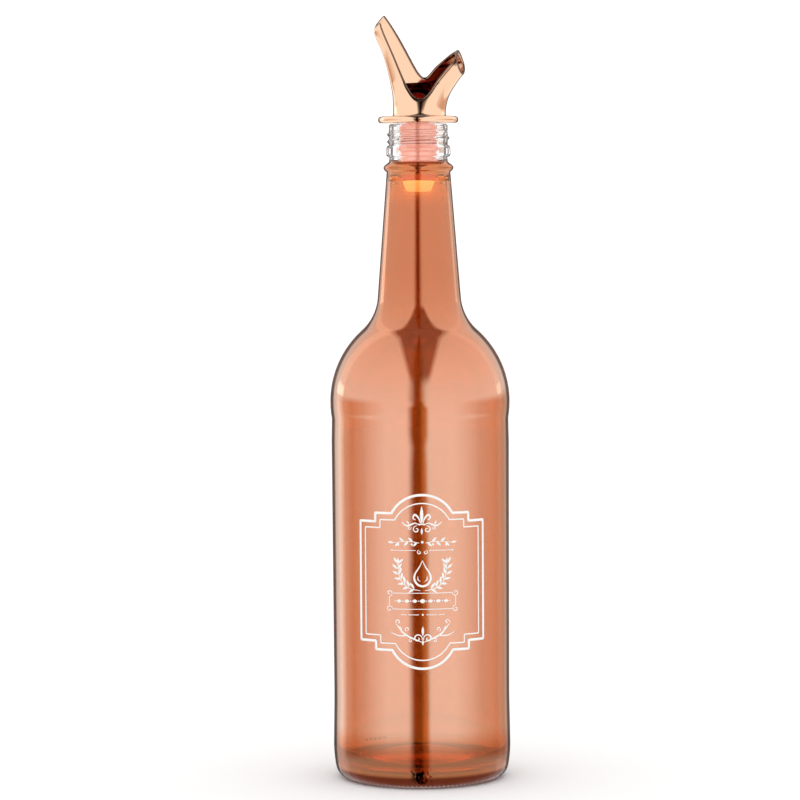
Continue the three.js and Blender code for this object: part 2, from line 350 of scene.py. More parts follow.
@dataclass(frozen=True)
class CopperCoat:
    """Glass under a see-through coppery metal coat: part mirror, part tinted glass.

    The coat is full on the body, thinner on the neck, thinnest where its spray ends, and full
    again on the neck's ring. At the foot it fades to a mottled heel that is darkened with painted
    shade. Each pair is the heights, in metres, between which one part passes into the next, apart
    from under_r, which is the radii between the underside and the heel.
    """

    name: str = "copper_coated_glass"
    mirror: Colour = (0.9, 0.645, 0.47)
    neck_mirror: Colour = (0.93, 0.42, 0.19)
    ring_mirror: Colour = (0.6, 0.22, 0.09)
    fade_mirror: Colour = (0.85, 0.3, 0.1)
    # Painted shade at the heel, in the mirror lobe.
    heel_shade_mirror: Colour = (0.12, 0.022, 0.008)
    under_mirror: Colour = (0.9, 0.36, 0.12)
    tint: Colour = (0.72, 0.12, 0.012)
    neck_tint: Colour = (0.36, 0.034, 0.0016)
    end_tint: Colour = (0.95, 0.2, 0.04)
    # Painted shade at the heel, in the glass lobe.
    heel_shade_tint: Colour = (0.4, 0.06, 0.006)
    share: float = 0.5
    neck_share: float = 0.36
    end_share: float = 0.2
    ring_share: float = 0.8
    fade_share: float = 0.28
    # Painted shade at the heel: nearly all dark mirror.
    heel_shade_share: float = 0.95
    heel: Point = (0.0045, 0.0075)
    fade: Point = (0.013, 0.026)
    thinning: Point = (0.15, 0.225)
    ending: Point = (0.249, 0.2655)
    ring: Point = (0.2638, 0.2654)
    under_r: Point = (0.0295, 0.0315)
    unevenness: float = 0.05
    patch_size: float = 18.0
    patch_stretch: Spot = (1.0, 1.0, 0.25)
    foot_ridges: float = 112.0
    foot: Point = (0.00096, 0.0016)
    mottle: float = 0.96
    mottle_size: float = 420.0
    mottled: Point = (0.006, 0.012)
    press: float = 0.6
    press_depth: float = 0.0003
    ripple: float = 0.03
    ripple_depth: float = 0.0006
    ripple_size: float = 40.0
    roughness: float = 0.06
    ior: float = 1.5

    def make(self) -> bpy.types.Material:
        """Builds the material."""
        paint = Paint(self.name)
        x, y, level = paint.split(paint.place)
        thin, end, ringed = level.step(*self.thinning), level.step(*self.ending), level.step(*self.ring)
        full, low = level.step(*self.fade), 1.0 - level.step(*self.heel)
        ridge = paint.math("SINE", paint.math("ARCTAN2", y, x) * self.foot_ridges) * (1.0 - level.step(*self.foot))
        grain = (paint.noise(self.mottle_size, 1.0) - 0.5) * (1.0 - level.step(*self.mottled)) * self.mottle
        wave = paint.bump(paint.noise(self.ripple_size, 1.0), self.ripple, self.ripple_depth)
        normal = paint.bump(ridge + grain, self.press, self.press_depth, wave)
        # The heel outside the underside is darkened with painted shade.
        heel = paint.mix(((x**2.0 + y**2.0) ** 0.5).step(*self.under_r), self.under_mirror, self.heel_shade_mirror)
        wall = paint.mix(full, self.fade_mirror, paint.mix(thin, self.mirror, self.neck_mirror))
        mirror = paint.mix(low, paint.mix(ringed, wall, self.ring_mirror), heel)
        metal = paint.principled(
            {"Base Color": mirror, "Metallic": 1.0, "Roughness": self.roughness, "Normal": normal}
        )
        upper = paint.mix(end, paint.mix(thin, self.tint, self.neck_tint), self.end_tint)
        glass = paint.glass(paint.mix(low, upper, self.heel_shade_tint), self.ior, normal)
        stretched = paint.out("ShaderNodeMapping", {"Vector": paint.place, "Scale": self.patch_stretch})
        share = self.share + thin * (self.neck_share - self.share) + end * (self.end_share - self.neck_share)
        share = share + ringed * (self.ring_share - self.end_share)
        share = share + (1.0 - full) * (self.fade_share - self.share) + low * (self.heel_shade_share - self.fade_share)
        share = share + (paint.noise(self.patch_size, 2.0, stretched) - 0.5) * self.unevenness
        return paint.finish(paint.out("ShaderNodeMixShader", {0: share, 1: glass, 2: metal}))


@dataclass(frozen=True)
class RoseGold:
    """Mirror-bright rose gold plating over a cast head, with a painted dark reflection on its cut rims and painted
    shade in its hollow.
    """

    name: str = "rose_gold_plating"
    colour: Colour = (0.88, 0.58, 0.395)
    # The next two values paint a dark reflection along the cut rims.
    rim_dark_reflection: Colour = (0.05, 0.012, 0.01)
    rim_reflection_share: float = 0.9
    # Painted shade inside the horn's hollow.
    hollow_shade_colour: Colour = (0.2, 0.03, 0.025)
    roughness: float = 0.06
    smear: float = 0.04
    smear_size: float = 70.0
    orange_peel: float = 0.03
    peel_depth: float = 0.0002
    peel_size: float = 260.0

    def make(self) -> bpy.types.Material:
        """Builds the material."""
        paint = Paint(self.name)
        # The rim mask places the painted dark reflection and the hollow mask places the painted shade.
        rim, hollow = (paint.term("ShaderNodeAttribute", "Fac", {"attribute_name": key}) for key in ("rim", "hollow"))
        outer = paint.mix(rim * self.rim_reflection_share, self.colour, self.rim_dark_reflection)
        return paint.finish(paint.principled({
            "Base Color": paint.mix(hollow, outer, self.hollow_shade_colour),
            "Metallic": 1.0,
            "Roughness": self.roughness + (paint.noise(self.smear_size, 2.0) - 0.5) * self.smear,
            "Normal": paint.bump(paint.noise(self.peel_size, 1.5), self.orange_peel, self.peel_depth),
        }))


@dataclass(frozen=True)
class RosePlastic:
    """Soft moulded plastic of the plug, lit by a painted emission that is brightest on its bevelled end, with painted
    shadows of the glass's thread.
    """

    name: str = "rose_plug_plastic"
    colour: Colour = (0.93, 0.49, 0.39)
    deep: Colour = (0.8, 0.3, 0.2)
    cloud_size: float = 120.0
    clouded: Point = (0.35, 0.7)
    roughness: float = 0.2
    uneven_gloss: float = 0.1
    pearl: float = 0.4
    # The plug's emission is painted light, brightest on the bevelled end.
    glow: float = 1.3
    painted_glow_colour: Colour = (0.24, 0.095, 0.07)
    end_painted_glow: Colour = (1.0, 1.0, 0.5)
    end_level: float = 0.262
    # Painted shadow of the glass's thread, in bands across the plug.
    shade: Colour = (0.36, 0.09, 0.055)
    shade_glow: Colour = (0.03, 0.01, 0.01)
    shade_share: float = 0.75
    shade_first: float = 0.2778
    shade_pitch: float = 0.00255
    shade_end: float = 0.2835
    shade_soft: Point = (0.08, 0.22)

    def make(self) -> bpy.types.Material:
        """Builds the material."""
        paint = Paint(self.name)
        _, _, level = paint.split(paint.place)
        cloud = paint.noise(self.cloud_size, 3.0)
        turns = (level - self.shade_first) / self.shade_pitch + 0.5
        apart = abs(turns - paint.math("FLOOR", turns) - 0.5)
        behind = level.above(self.shade_first - 0.3 * self.shade_pitch) * (1.0 - level.above(self.shade_end))
        shaded = (1.0 - apart.step(*self.shade_soft)) * behind * self.shade_share
        # Painted emission, brightest on the bevelled end.
        glow = paint.mix(1.0 - level.above(self.end_level), self.painted_glow_colour, self.end_painted_glow)
        return paint.finish(paint.principled({
            "Base Color": paint.mix(shaded, paint.mix(cloud.step(*self.clouded), self.colour, self.deep), self.shade),
            "Metallic": self.pearl,
            "Roughness": self.roughness + (cloud - 0.5) * self.uneven_gloss,
            "Emission Color": paint.mix(shaded, glow, self.shade_glow),
            "Emission Strength": self.glow,
        }))


@dataclass(frozen=True)
class WhiteInk:
    """Thin screen-printed white ink."""

    name: str = "white_ink"
    colour: Colour = (0.93, 0.91, 0.885)
    thin: Colour = (0.86, 0.8, 0.75)
    grain_size: float = 900.0
    worn: Point = (0.55, 0.8)
    roughness: float = 0.45
    uneven_gloss: float = 0.2

    def make(self) -> bpy.types.Material:
        """Builds the material."""
        paint = Paint(self.name)
        grain = paint.noise(self.grain_size, 2.0)
        return paint.finish(paint.principled({
            "Base Color": paint.mix(grain.step(*self.worn), self.colour, self.thin),
            "Roughness": self.roughness + (grain - 0.5) * self.uneven_gloss,
        }))


# ---------------------------------------------------------------- meshes


def arc(centre: Point, radius: float, start: float, end: float, steps: int) -> list[Point]:
    """Gives points on an arc.

    Args:
        centre: its centre, in mm.
        radius: its radius, in mm.
        start: the first angle, in degrees.
        end: the last angle, in degrees.
        steps: how many chords it has.

    Returns:
        The points, both ends included.
    """
    angles = np.radians(np.linspace(start, end, steps + 1))
    return [(centre[0] + radius * math.cos(a), centre[1] + radius * math.sin(a)) for a in angles]


def dome(edge: float, level: float, rise: float, steps: int) -> list[Point]:
    """Gives a shallow dome over a disc, from the axis out to its edge.

    Args:
        edge: the disc's radius, in mm.
        level: the height of its edge, in mm.
        rise: how far its middle stands over the edge, in mm.
        steps: how many chords it has.

    Returns:
        The points.
    """
    radius = (edge**2 + rise**2) / (2 * rise)
    return arc((0.0, level + rise - radius), radius, 90, math.degrees(math.acos(edge / radius)), steps)


def straight(start: Point, end: Point, steps: int) -> list[Point]:
    """Gives points on a line, both ends included."""
    return [tuple(p) for p in np.linspace(start, end, steps + 1)]


def rounded(points: Sequence[Point], radii: Sequence[float], steps: int = 4) -> list[Point]:
    """Rounds the corners of an open polyline.

    Args:
        points: its corners, in mm.
        radii: a radius for each corner, in mm. The two ends are left as they are.
        steps: how many chords a rounded corner has.

    Returns:
        The rounded polyline.
    """
    result = [points[0]]
    for i in range(1, len(points) - 1):
        here = np.array(points[i])
        back, ahead = np.array(points[i - 1]) - here, np.array(points[i + 1]) - here
        reach = min(radii[i], 0.45 * np.linalg.norm(back), 0.45 * np.linalg.norm(ahead))
        if reach < 1e-4:
            result.append(tuple(here))
            continue
        start = here + back / np.linalg.norm(back) * reach
        end = here + ahead / np.linalg.norm(ahead) * reach
        for t in np.linspace(0, 1, steps + 1):
            result.append(tuple((1 - t) ** 2 * start + 2 * t * (1 - t) * here + t**2 * end))
    result.append(points[-1])
    return result


def outward(mesh: bpy.types.Mesh) -> None:
    """Turns a closed mesh's faces outwards where its volume comes out negative."""
    work = bmesh.new()
    work.from_mesh(mesh)
    if work.calc_volume(signed=True) < 0:
        bmesh.ops.reverse_faces(work, faces=work.faces)
    work.to_mesh(mesh)
    work.free()


def place_mesh(name: str, mesh: bpy.types.Mesh) -> bpy.types.Object:
    """Puts a mesh into the scene as an object.

    Args:
        name: the object's name.
        mesh: the mesh.

    Returns:
        The object.
    """
    made = bpy.data.objects.new(name, mesh)
    bpy.context.scene.collection.objects.link(made)
    return made


def store_numbers(mesh: bpy.types.Mesh, values: dict[str, Sequence[float]]) -> None:
    """Stores numbers for each point of a mesh, by attribute name."""
    for name, numbers in values.items():
        mesh.attributes.new(name, "FLOAT", "POINT").data.foreach_set("value", np.array(numbers, np.float32))


def settle(piece: bpy.types.Object, slot: Slot, *nodes: str) -> bpy.types.Object:
    """Ties a finished piece to the frame.

    Args:
        piece: the piece.
        slot: the record's slot that it takes its finish from.
        nodes: the CAD nodes that it stands for.

    Returns:
        The piece.
    """
    if nodes:
        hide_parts(*nodes)
    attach(piece, ROOT)
    log.info("%s: %d faces, slot %s", piece.name, len(piece.data.polygons), slot.value)
    return piece


class Tree:
    """A Geometry Nodes tree under construction, with its named inputs."""

    def __init__(self, name: str) -> None:
        """Starts a tree with one geometry input and one geometry output.

        Args:
            name: the tree's name.
        """
        self.group = bpy.data.node_groups.new(name, "GeometryNodeTree")
        self.group.interface.new_socket("Geometry", in_out="INPUT", socket_type="NodeSocketGeometry")
        self.group.interface.new_socket("Geometry", in_out="OUTPUT", socket_type="NodeSocketGeometry")
        self.graph = Graph(self.group)
        self.entry = self.graph.node("NodeGroupInput")
        self.exit = self.graph.node("NodeGroupOutput")
        self.identifiers: dict[str, str] = {}

    def size(self, name: str, kind: str = "NodeSocketFloat") -> Term:
        """Adds a named input.

        Args:
            name: the input's name.
            kind: the socket's type.

        Returns:
            The input as a Term.
        """
        socket = self.group.interface.new_socket(name, in_out="INPUT", socket_type=kind)
        self.identifiers[name] = socket.identifier
        return Term(self.graph, self.entry.outputs[name])

    def read(self, attribute: str, kind: str = "FLOAT") -> bpy.types.NodeSocket:
        """Reads a named attribute where the tree stands."""
        return self.graph.out("GeometryNodeInputNamedAttribute", {"Name": attribute}, {"data_type": kind})

    def store(
        self, geometry: bpy.types.NodeSocket, name: str, value: "Term | bpy.types.NodeSocket", kind: str = "FLOAT"
    ) -> bpy.types.NodeSocket:
        """Stores a value at each point under a name, and returns the geometry."""
        inputs = {"Geometry": geometry, "Name": name, "Value": value}
        return self.graph.out("GeometryNodeStoreNamedAttribute", inputs, {"data_type": kind, "domain": "POINT"})

    def here(self) -> bpy.types.NodeSocket:
        """Returns each point's place."""
        return self.graph.out("GeometryNodeInputPosition")

    def move(self, geometry: bpy.types.NodeSocket, target: bpy.types.NodeSocket) -> bpy.types.NodeSocket:
        """Moves each point to its target, and returns the geometry."""
        return self.graph.out("GeometryNodeSetPosition", {"Geometry": geometry, "Position": target})

    def smooth(self, geometry: bpy.types.NodeSocket) -> bpy.types.NodeSocket:
        """Shades the geometry smooth."""
        return self.graph.out("GeometryNodeSetShadeSmooth", {"Geometry": geometry})

    def dress(
        self, geometry: bpy.types.NodeSocket, material: Term, where: Term | None = None
    ) -> bpy.types.NodeSocket:
        """Gives the geometry a material, everywhere or where a selection holds."""
        inputs = {"Geometry": geometry, "Material": material}
        if where is not None:
            inputs["Selection"] = where
        return self.graph.out("GeometryNodeSetMaterial", inputs)

    def close(self, geometry: bpy.types.NodeSocket, material: Term) -> None:
        """Realizes and dresses the finished geometry, and links it to the tree's output.

        Args:
            geometry: the geometry.
            material: the material input of all its faces.
        """
        real = self.graph.out("GeometryNodeRealizeInstances", {"Geometry": geometry})
        self.graph.feed(self.exit.inputs[0], self.dress(real, material))

    def run(self, source: bpy.types.Object, values: dict[str, object], name: str) -> bpy.types.Object:
        """Runs the tree on an object and keeps the result as a plain mesh.

        Args:
            source: the object that the tree starts from, which is removed.
            values: the inputs by name.
            name: the new object's name.

        Returns:
            The new object.
        """
        modifier = source.modifiers.new("rule", "NODES")
        modifier.node_group = self.group
        for key, value in values.items():
            modifier[self.identifiers[key]] = value
        bpy.context.view_layer.update()
        evaluated = source.evaluated_get(bpy.context.evaluated_depsgraph_get())
        mesh = bpy.data.meshes.new_from_object(evaluated)
        source.modifiers.remove(modifier)
        bpy.data.objects.remove(source)
        mesh.name = name
        outward(mesh)
        return place_mesh(name, mesh)


def wire(name: str, strands: Sequence[Sequence[Point]], values: dict[str, Sequence[float]]) -> bpy.types.Object:
    """Makes a mesh of bare edges that a tree starts from.

    Args:
        name: the object's name.
        strands: runs of (across, up) points, in mm.
        values: numbers for each point, by attribute name.

    Returns:
        The object, with x across and z up, in metres.
    """
    mesh = bpy.data.meshes.new(name)
    points = [(x * MM, 0.0, z * MM) for strand in strands for x, z in strand]
    edges, start = [], 0
    for strand in strands:
        edges += [(start + i, start + i + 1) for i in range(len(strand) - 1)]
        start += len(strand)
    mesh.from_pydata(points, edges, [])
    store_numbers(mesh, values)
    return place_mesh(name, mesh)


@dataclass
class TurnedRule:
    """Turns a profile about the axis, and can raise a screw thread on its marked rows."""

    sides: int = 192
    turns: float = 2.0
    pitch: float = 3.1
    top: float = 283.3
    height: float = 0.83
    half_width: float = 0.72
    run_in: float = 0.14
    weld: float = 0.002

    def make(
        self,
        name: str,
        rows: Sequence[Point],
        coated: Sequence[float],
        threaded: Sequence[float],
        finish: bpy.types.Material,
        coat: bpy.types.Material,
    ) -> bpy.types.Object:
        """Builds the turned piece.

        Args:
            name: its name.
            rows: the profile, from the axis round to the axis, or closed, in mm.
            coated: 1 for each row whose faces take the coat, and else 0.
            threaded: 1 for each row that the thread may raise, and else 0.
            finish: the material of the other faces.
            coat: the material of the coated faces.

        Returns:
            The piece.
        """
        tree = Tree("turned_shell")
        graph = tree.graph
        sides = tree.size("Sides", "NodeSocketInt")
        turns, pitch, top = tree.size("Thread Turns"), tree.size("Thread Pitch"), tree.size("Thread Top")
        height, width = tree.size("Thread Height"), tree.size("Thread Half Width")
        plain, coating = tree.size("Finish", "NodeSocketMaterial"), tree.size("Coat", "NodeSocketMaterial")
        outline = tree.entry.outputs["Geometry"]
        count = graph.term("GeometryNodeAttributeDomainSize", "Point Count", inputs={"Geometry": outline})
        grid = graph.out("GeometryNodeMeshGrid", {"Vertices X": sides + 1.0, "Vertices Y": count})
        index = graph.term("GeometryNodeInputIndex", 0)
        column = graph.math("FLOOR", (index + 0.5) / count)
        row = index - column * count

        def sample(kind: str, value: object) -> bpy.types.NodeSocket:
            """Reads a value of the profile at this row."""
            inputs = {"Geometry": outline, "Value": value, "Index": row}
            return graph.out("GeometryNodeSampleIndex", inputs, {"data_type": kind, "domain": "POINT"})

        radius, _, level = graph.split(sample("FLOAT_VECTOR", tree.here()))
        marks = {key: Term(graph, sample("FLOAT", tree.read(key))) for key in ("coated", "threaded")}
        share = column / sides
        angle = share * (2 * math.pi)
        climb = (level - top) / pitch + turns - share
        passing = graph.math("ROUND", climb).at_least(0.0).at_most(turns - 1.0)
        offset = (climb - passing) * pitch / width
        along = passing + share
        fade = along.step(0.0, self.run_in) * (turns - along).step(0.0, self.run_in)
        crest = graph.math("EXPONENT", -(offset * offset)) * height * fade * marks["threaded"]
        reach = radius + crest
        target = graph.join(reach * graph.math("COSINE", angle), reach * graph.math("SINE", angle), level)
        moved = tree.move(tree.store(grid, "coated", marks["coated"]), target)
        welded = graph.out("GeometryNodeMergeByDistance", {"Geometry": moved, "Distance": self.weld * MM})
        real = graph.out("GeometryNodeRealizeInstances", {"Geometry": tree.smooth(welded)})
        coated_faces = Term(graph, tree.read("coated")).above(0.75)
        dressed = tree.dress(tree.dress(real, plain), coating, coated_faces)
        graph.feed(tree.exit.inputs[0], dressed)
        source = wire(name + "_profile", [rows], {"coated": coated, "threaded": threaded})
        values = {
            "Sides": self.sides,
            "Thread Turns": self.turns,
            "Thread Pitch": self.pitch * MM,
            "Thread Top": self.top * MM,
            "Thread Height": self.height * MM,
            "Thread Half Width": self.half_width * MM,
            "Finish": finish,
            "Coat": coat,
        }
        return tree.run(source, values, name)


# ---------------------------------------------------------------- the glass


@dataclass
class GlassBottle:
    """The turned glass: body, shoulder, long neck and 28 mm screw finish."""

    lip_z: float = 286.3
    ring_high_z: float = 269.9
    neck_foot_z: float = 214.0
    shoulder_z: float = 165.3
    body_r: float = 39.3
    neck_foot_r: float = 17.97
    neck_top_r: float = 13.94
    ring_low_z: float = 265.4
    ring_crest_z: float = 267.4
    ring_r: float = 15.4
    bead_r: float = 14.1
    bead_low_z: float = 272.2
    bead_high_z: float = 276.9
    finish_r: float = 12.84
    bore_r: float = 9.2
    bore_low_z: float = 262.0
    shoulder_arc: float = 42.0
    neck_arc: float = 21.0
    heel_arc: float = 6.0
    heel_turn: float = 10.6
    heel_r: float = 38.85
    heel_z: float = 15.0
    panel_low: Point = (38.5, 36.0)
    panel_high: Point = (38.87, 148.0)
    foot_outer_r: float = 32.0
    foot_inner_r: float = 29.0
    punt_rise: float = 8.0
    wall: float = 3.0
    floor_z: float = 7.0
    floor_corner: float = 9.0
    floor_rise: float = 6.0

    def panel_radius(self, z: float) -> float:
        """Returns the straight panel's radius at a height, both in mm."""
        (low_r, low_z), (high_r, high_z) = self.panel_low, self.panel_high
        return low_r + (high_r - low_r) * (z - low_z) / (high_z - low_z)

    def _arcs(self) -> tuple[Point, Point, float, float]:
        """Works out the two arcs between the body and the neck.

        Returns:
            The shoulder arc's centre, the neck arc's centre, the angle where they meet and the
            neck's lean, in mm and degrees.
        """
        lean = math.atan((self.neck_foot_r - self.neck_top_r) / (self.ring_low_z - self.neck_foot_z))
        centre_r = self.body_r - self.shoulder_arc
        offset = (centre_r - self.neck_foot_r) * math.cos(lean)
        offset += (self.shoulder_z - self.neck_foot_z) * math.sin(lean)
        reach = self.shoulder_arc + self.neck_arc
        meeting = lean + math.acos((self.neck_arc - offset) / reach)
        neck = (centre_r + reach * math.cos(meeting), self.shoulder_z + reach * math.sin(meeting))
        return (centre_r, self.shoulder_z), neck, math.degrees(meeting), math.degrees(lean)

    def outside(self) -> list[Point]:
        """Returns the outside profile from the hollow underside up to the lip, in mm."""
        shoulder, neck, meeting, lean = self._arcs()
        turn = math.radians(self.heel_turn)
        heel_radius = (self.heel_z - self.heel_arc * (1 - math.sin(turn))) / math.sin(turn)
        finish = [
            (self.neck_top_r, self.ring_low_z),
            (self.ring_r - 0.5, self.ring_crest_z - 1.3),
            (self.ring_r, self.ring_crest_z),
            (self.ring_r - 0.5, self.ring_crest_z + 0.9),
            (self.finish_r, self.ring_high_z),
            (self.finish_r - 0.2, self.bead_low_z - 0.4),
            (self.bead_r - 0.4, self.bead_low_z),
            (self.bead_r, self.bead_low_z + 1),
            (self.bead_r - 0.1, self.bead_high_z - 1),
            (self.bead_r - 0.6, self.bead_high_z),
            (self.finish_r, self.bead_high_z + 0.3),
        ]
        radii = [0, 0.9, 1.0, 0.9, 0.7, 0.5, 0.5, 0.7, 0.7, 0.4, 0.4]
        lip = 1.0
        neck_side = arc(neck, self.neck_arc, 180 + meeting, 180 + lean, 22)[1:]
        return [
            *dome(self.foot_inner_r, 0.0, self.punt_rise, 16),
            *arc((self.foot_outer_r, self.heel_arc), self.heel_arc, -90, -self.heel_turn, 16),
            *arc((self.heel_r - heel_radius, self.heel_z), heel_radius, -self.heel_turn, 0, 8)[1:],
            *straight(self.panel_low, self.panel_high, 14),
            *arc(shoulder, self.shoulder_arc, -13, 0, 4)[1:-1],
            *arc(shoulder, self.shoulder_arc, 0, meeting, 44),
            *neck_side,
            *straight(neck_side[-1], finish[0], 12)[1:-1],
            *rounded(finish, radii),
            *straight((self.finish_r, self.bead_high_z + 0.45), (self.finish_r, self.lip_z - lip - 0.15), 44),
            *arc((self.finish_r - lip, self.lip_z - lip), lip, 0, 90, 8),
        ]

    def inside(self) -> list[Point]:
        """Returns the inside profile from the lip down to the middle of the floor, in mm."""
        shoulder, neck, meeting, lean = self._arcs()
        inner = self.body_r - self.wall
        panel = self.panel_low[0] - self.wall
        corner = self.floor_corner
        return [
            *rounded([(self.bore_r + 1.2, self.lip_z), (self.bore_r, self.lip_z - 0.9),
                      (self.bore_r, self.bore_low_z), (11.2, 256.0)], [0, 0.6, 2.0, 0]),
            *arc(neck, self.neck_arc + self.wall, 180 + lean, 180 + meeting, 22),
            *arc(shoulder, self.shoulder_arc - self.wall, meeting, 0, 40)[1:],
            ((inner + panel) / 2, self.panel_high[1]),
            *straight((panel + 0.1, 110.0), (panel, self.floor_z + corner + 6), 6),
            *arc((panel - corner, self.floor_z + corner), corner, 0, -90, 18),
            *dome(panel - corner, self.floor_z, self.floor_rise, 14)[::-1][1:],
        ]

    def build(self, clear: bpy.types.Material, coat: bpy.types.Material) -> bpy.types.Object:
        """Builds and dresses the bottle.

        Args:
            clear: the bare glass.
            coat: the coated glass.

        Returns:
            The piece.
        """
        outside, inside = self.outside(), self.inside()
        coated = [float(z < self.ring_high_z - 0.1) for _, z in outside] + [0.0] * len(inside)
        threaded = [float(self.bead_high_z + 0.3 < z < self.lip_z - 0.8) for _, z in outside]
        threaded += [0.0] * len(inside)
        rule = TurnedRule()
        piece = rule.make("glass_bottle", outside + inside, coated, threaded, clear, coat)
        return settle(piece, Slot.GLASS, "bottle")


@dataclass
class MouldDots:
    """The short row of raised dots low on the back of the glass."""

    count: int = 5
    radius: float = 0.85
    rise: float = 0.6
    level: float = 10.5
    glass_r: float = 38.7
    sunk: float = 0.1
    first: float = 118.0
    last: float = 134.9

    def build(self, coat: bpy.types.Material) -> bpy.types.Object:
        """Builds and dresses the dots.

        Args:
            coat: the coated glass, darkened with painted shade.

        Returns:
            The piece.
        """
        tree = Tree("mould_dots")
        graph = tree.graph
        reach, size, flat = tree.size("Glass Radius"), tree.size("Dot Radius"), tree.size("Dot Flatness")
        material = tree.size("Coat", "NodeSocketMaterial")
        sphere = graph.out("GeometryNodeMeshUVSphere", {"Segments": 24, "Rings": 12, "Radius": size})
        scale = graph.join(flat, 1.0, 1.0)
        pressed = graph.out("GeometryNodeTransform", {"Geometry": tree.smooth(sphere), "Scale": scale})
        turn, _, level = graph.split(tree.here())
        turn = turn / MM
        target = graph.join(reach * graph.math("COSINE", turn), reach * graph.math("SINE", turn), level)
        kept = tree.store(tree.entry.outputs["Geometry"], "facing", graph.join(0.0, 0.0, turn), "FLOAT_VECTOR")
        facing = tree.read("facing", "FLOAT_VECTOR")
        row = {"Points": tree.move(kept, target), "Instance": pressed, "Rotation": facing}
        tree.close(graph.out("GeometryNodeInstanceOnPoints", row), material)
        angles = np.radians(np.linspace(self.first, self.last, self.count))
        source = wire("dot_places", [[(a, self.level) for a in angles]], {})
        values = {
            "Glass Radius": (self.glass_r - self.sunk) * MM,
            "Dot Radius": self.radius * MM,
            "Dot Flatness": self.rise / self.radius,
            "Coat": coat,
        }
        return settle(tree.run(source, values, "mould_dots"), Slot.GLASS)


# ---------------------------------------------------------------- the plug


@dataclass
class StopperPlug:
    """The tapered plug with three sealing ribs and a bevelled end."""

    top: Point = (8.4, 286.3)
    low: Point = (7.4, 262.4)
    end: Point = (5.4, 257.9)
    shoulder_r: float = 6.8
    bore_r: float = 4.2
    rib_r: float = 8.9
    rib_height: float = 1.6
    rib_levels: tuple[float, ...] = (269.4, 275.0, 280.6)

    def side(self, z: float) -> float:
        """Returns the tapered side's radius at a height, both in mm."""
        return self.low[0] + (self.top[0] - self.low[0]) * (z - self.low[1]) / (self.top[1] - self.low[1])

    def profile(self) -> list[Point]:
        """Returns the closed profile, in mm."""
        corners: list[Point] = [(self.bore_r, self.end[1]), self.end, (self.shoulder_r, self.low[1] - 0.8), self.low]
        radii = [0.0, 0.4, 0.4, 0.4]
        for z in self.rib_levels:
            half = self.rib_height / 2
            corners += [(self.side(z - half), z - half), (self.rib_r, z - half / 2),
                        (self.rib_r, z + half / 2), (self.side(z + half), z + half)]
            radii += [0.3, 0.35, 0.35, 0.3]
        corners += [self.top, (self.bore_r, self.top[1]), (self.bore_r, self.end[1])]
        radii += [0.3, 0.2, 0.0]
        return rounded(corners, radii)

    def build(self, plastic: bpy.types.Material) -> bpy.types.Object:
        """Builds and dresses the plug.

        Args:
            plastic: its material.

        Returns:
            The piece.
        """
        rows = self.profile()
        none = [0.0] * len(rows)
        piece = TurnedRule(sides=96).make("ribbed_plug", rows, none, none, plastic, plastic)
        return settle(piece, Slot.PLASTIC, "stopper_plug")


# ---------------------------------------------------------------- the pourer head


def smooth_max(a: np.ndarray, b: np.ndarray, blend: float) -> np.ndarray:
    """Returns the larger of two fields, rounded where they meet over a blend in mm."""
    near = np.maximum(blend - np.abs(a - b), 0.0) / blend
    return np.maximum(a, b) + near * near * blend * 0.25


def smooth_min(a: np.ndarray, b: np.ndarray, blend: float) -> np.ndarray:
    """Returns the smaller of two fields, rounded where they meet over a blend in mm."""
    return -smooth_max(-a, -b, blend)


class SizeCurve:
    """A size that changes smoothly with height."""

    def __init__(self, pairs: Sequence[Point], blur: float = 1.6) -> None:
        """Samples a smooth curve through [height, size] pairs.

        Args:
            pairs: the pairs, in mm.
            blur: how far each sample is averaged, in mm.
        """
        heights, sizes = np.array(pairs).T
        self.heights = np.arange(heights[0] - 6, heights[-1] + 6, 0.1)
        points = catmull_rom(np.array(pairs), 24)
        rough = np.interp(self.heights, points[:, 0], points[:, 1])
        low, high = points[1] - points[0], points[-1] - points[-2]
        below, above = self.heights < heights[0], self.heights > heights[-1]
        rough[below] = sizes[0] + (self.heights[below] - heights[0]) * low[1] / low[0]
        rough[above] = sizes[-1] + (self.heights[above] - heights[-1]) * high[1] / high[0]
        half = int(blur / 0.1)
        window = np.hanning(2 * half + 3)[1:-1]
        padded = np.concatenate([rough[0] - rough[half:0:-1] + rough[0], rough,
                                 2 * rough[-1] - rough[-2:-half - 2:-1]])
        self.sizes = np.convolve(padded, window / window.sum(), "valid")

    def __call__(self, z: np.ndarray) -> np.ndarray:
        """Returns the size at each height."""
        return np.interp(z, self.heights, self.sizes)


def catmull_rom(points: np.ndarray, steps: int) -> np.ndarray:
    """Samples a smooth curve through points.

    Args:
        points: the points, one a row.
        steps: how many samples each span has.

    Returns:
        The samples, the last point included.
    """
    padded = np.vstack([points[0], points, points[-1]])
    t = np.linspace(0, 1, steps, endpoint=False)[:, None]
    spans = []
    for i in range(len(points) - 1):
        a, b, c, d = padded[i : i + 4]
        v0, v1 = (c - a) / 2, (d - b) / 2
        spans.append((2 * b - 2 * c + v0 + v1) * t**3 + (-3 * b + 3 * c - 2 * v0 - v1) * t**2 + v0 * t + b)
    return np.vstack([*spans, points[-1:]])


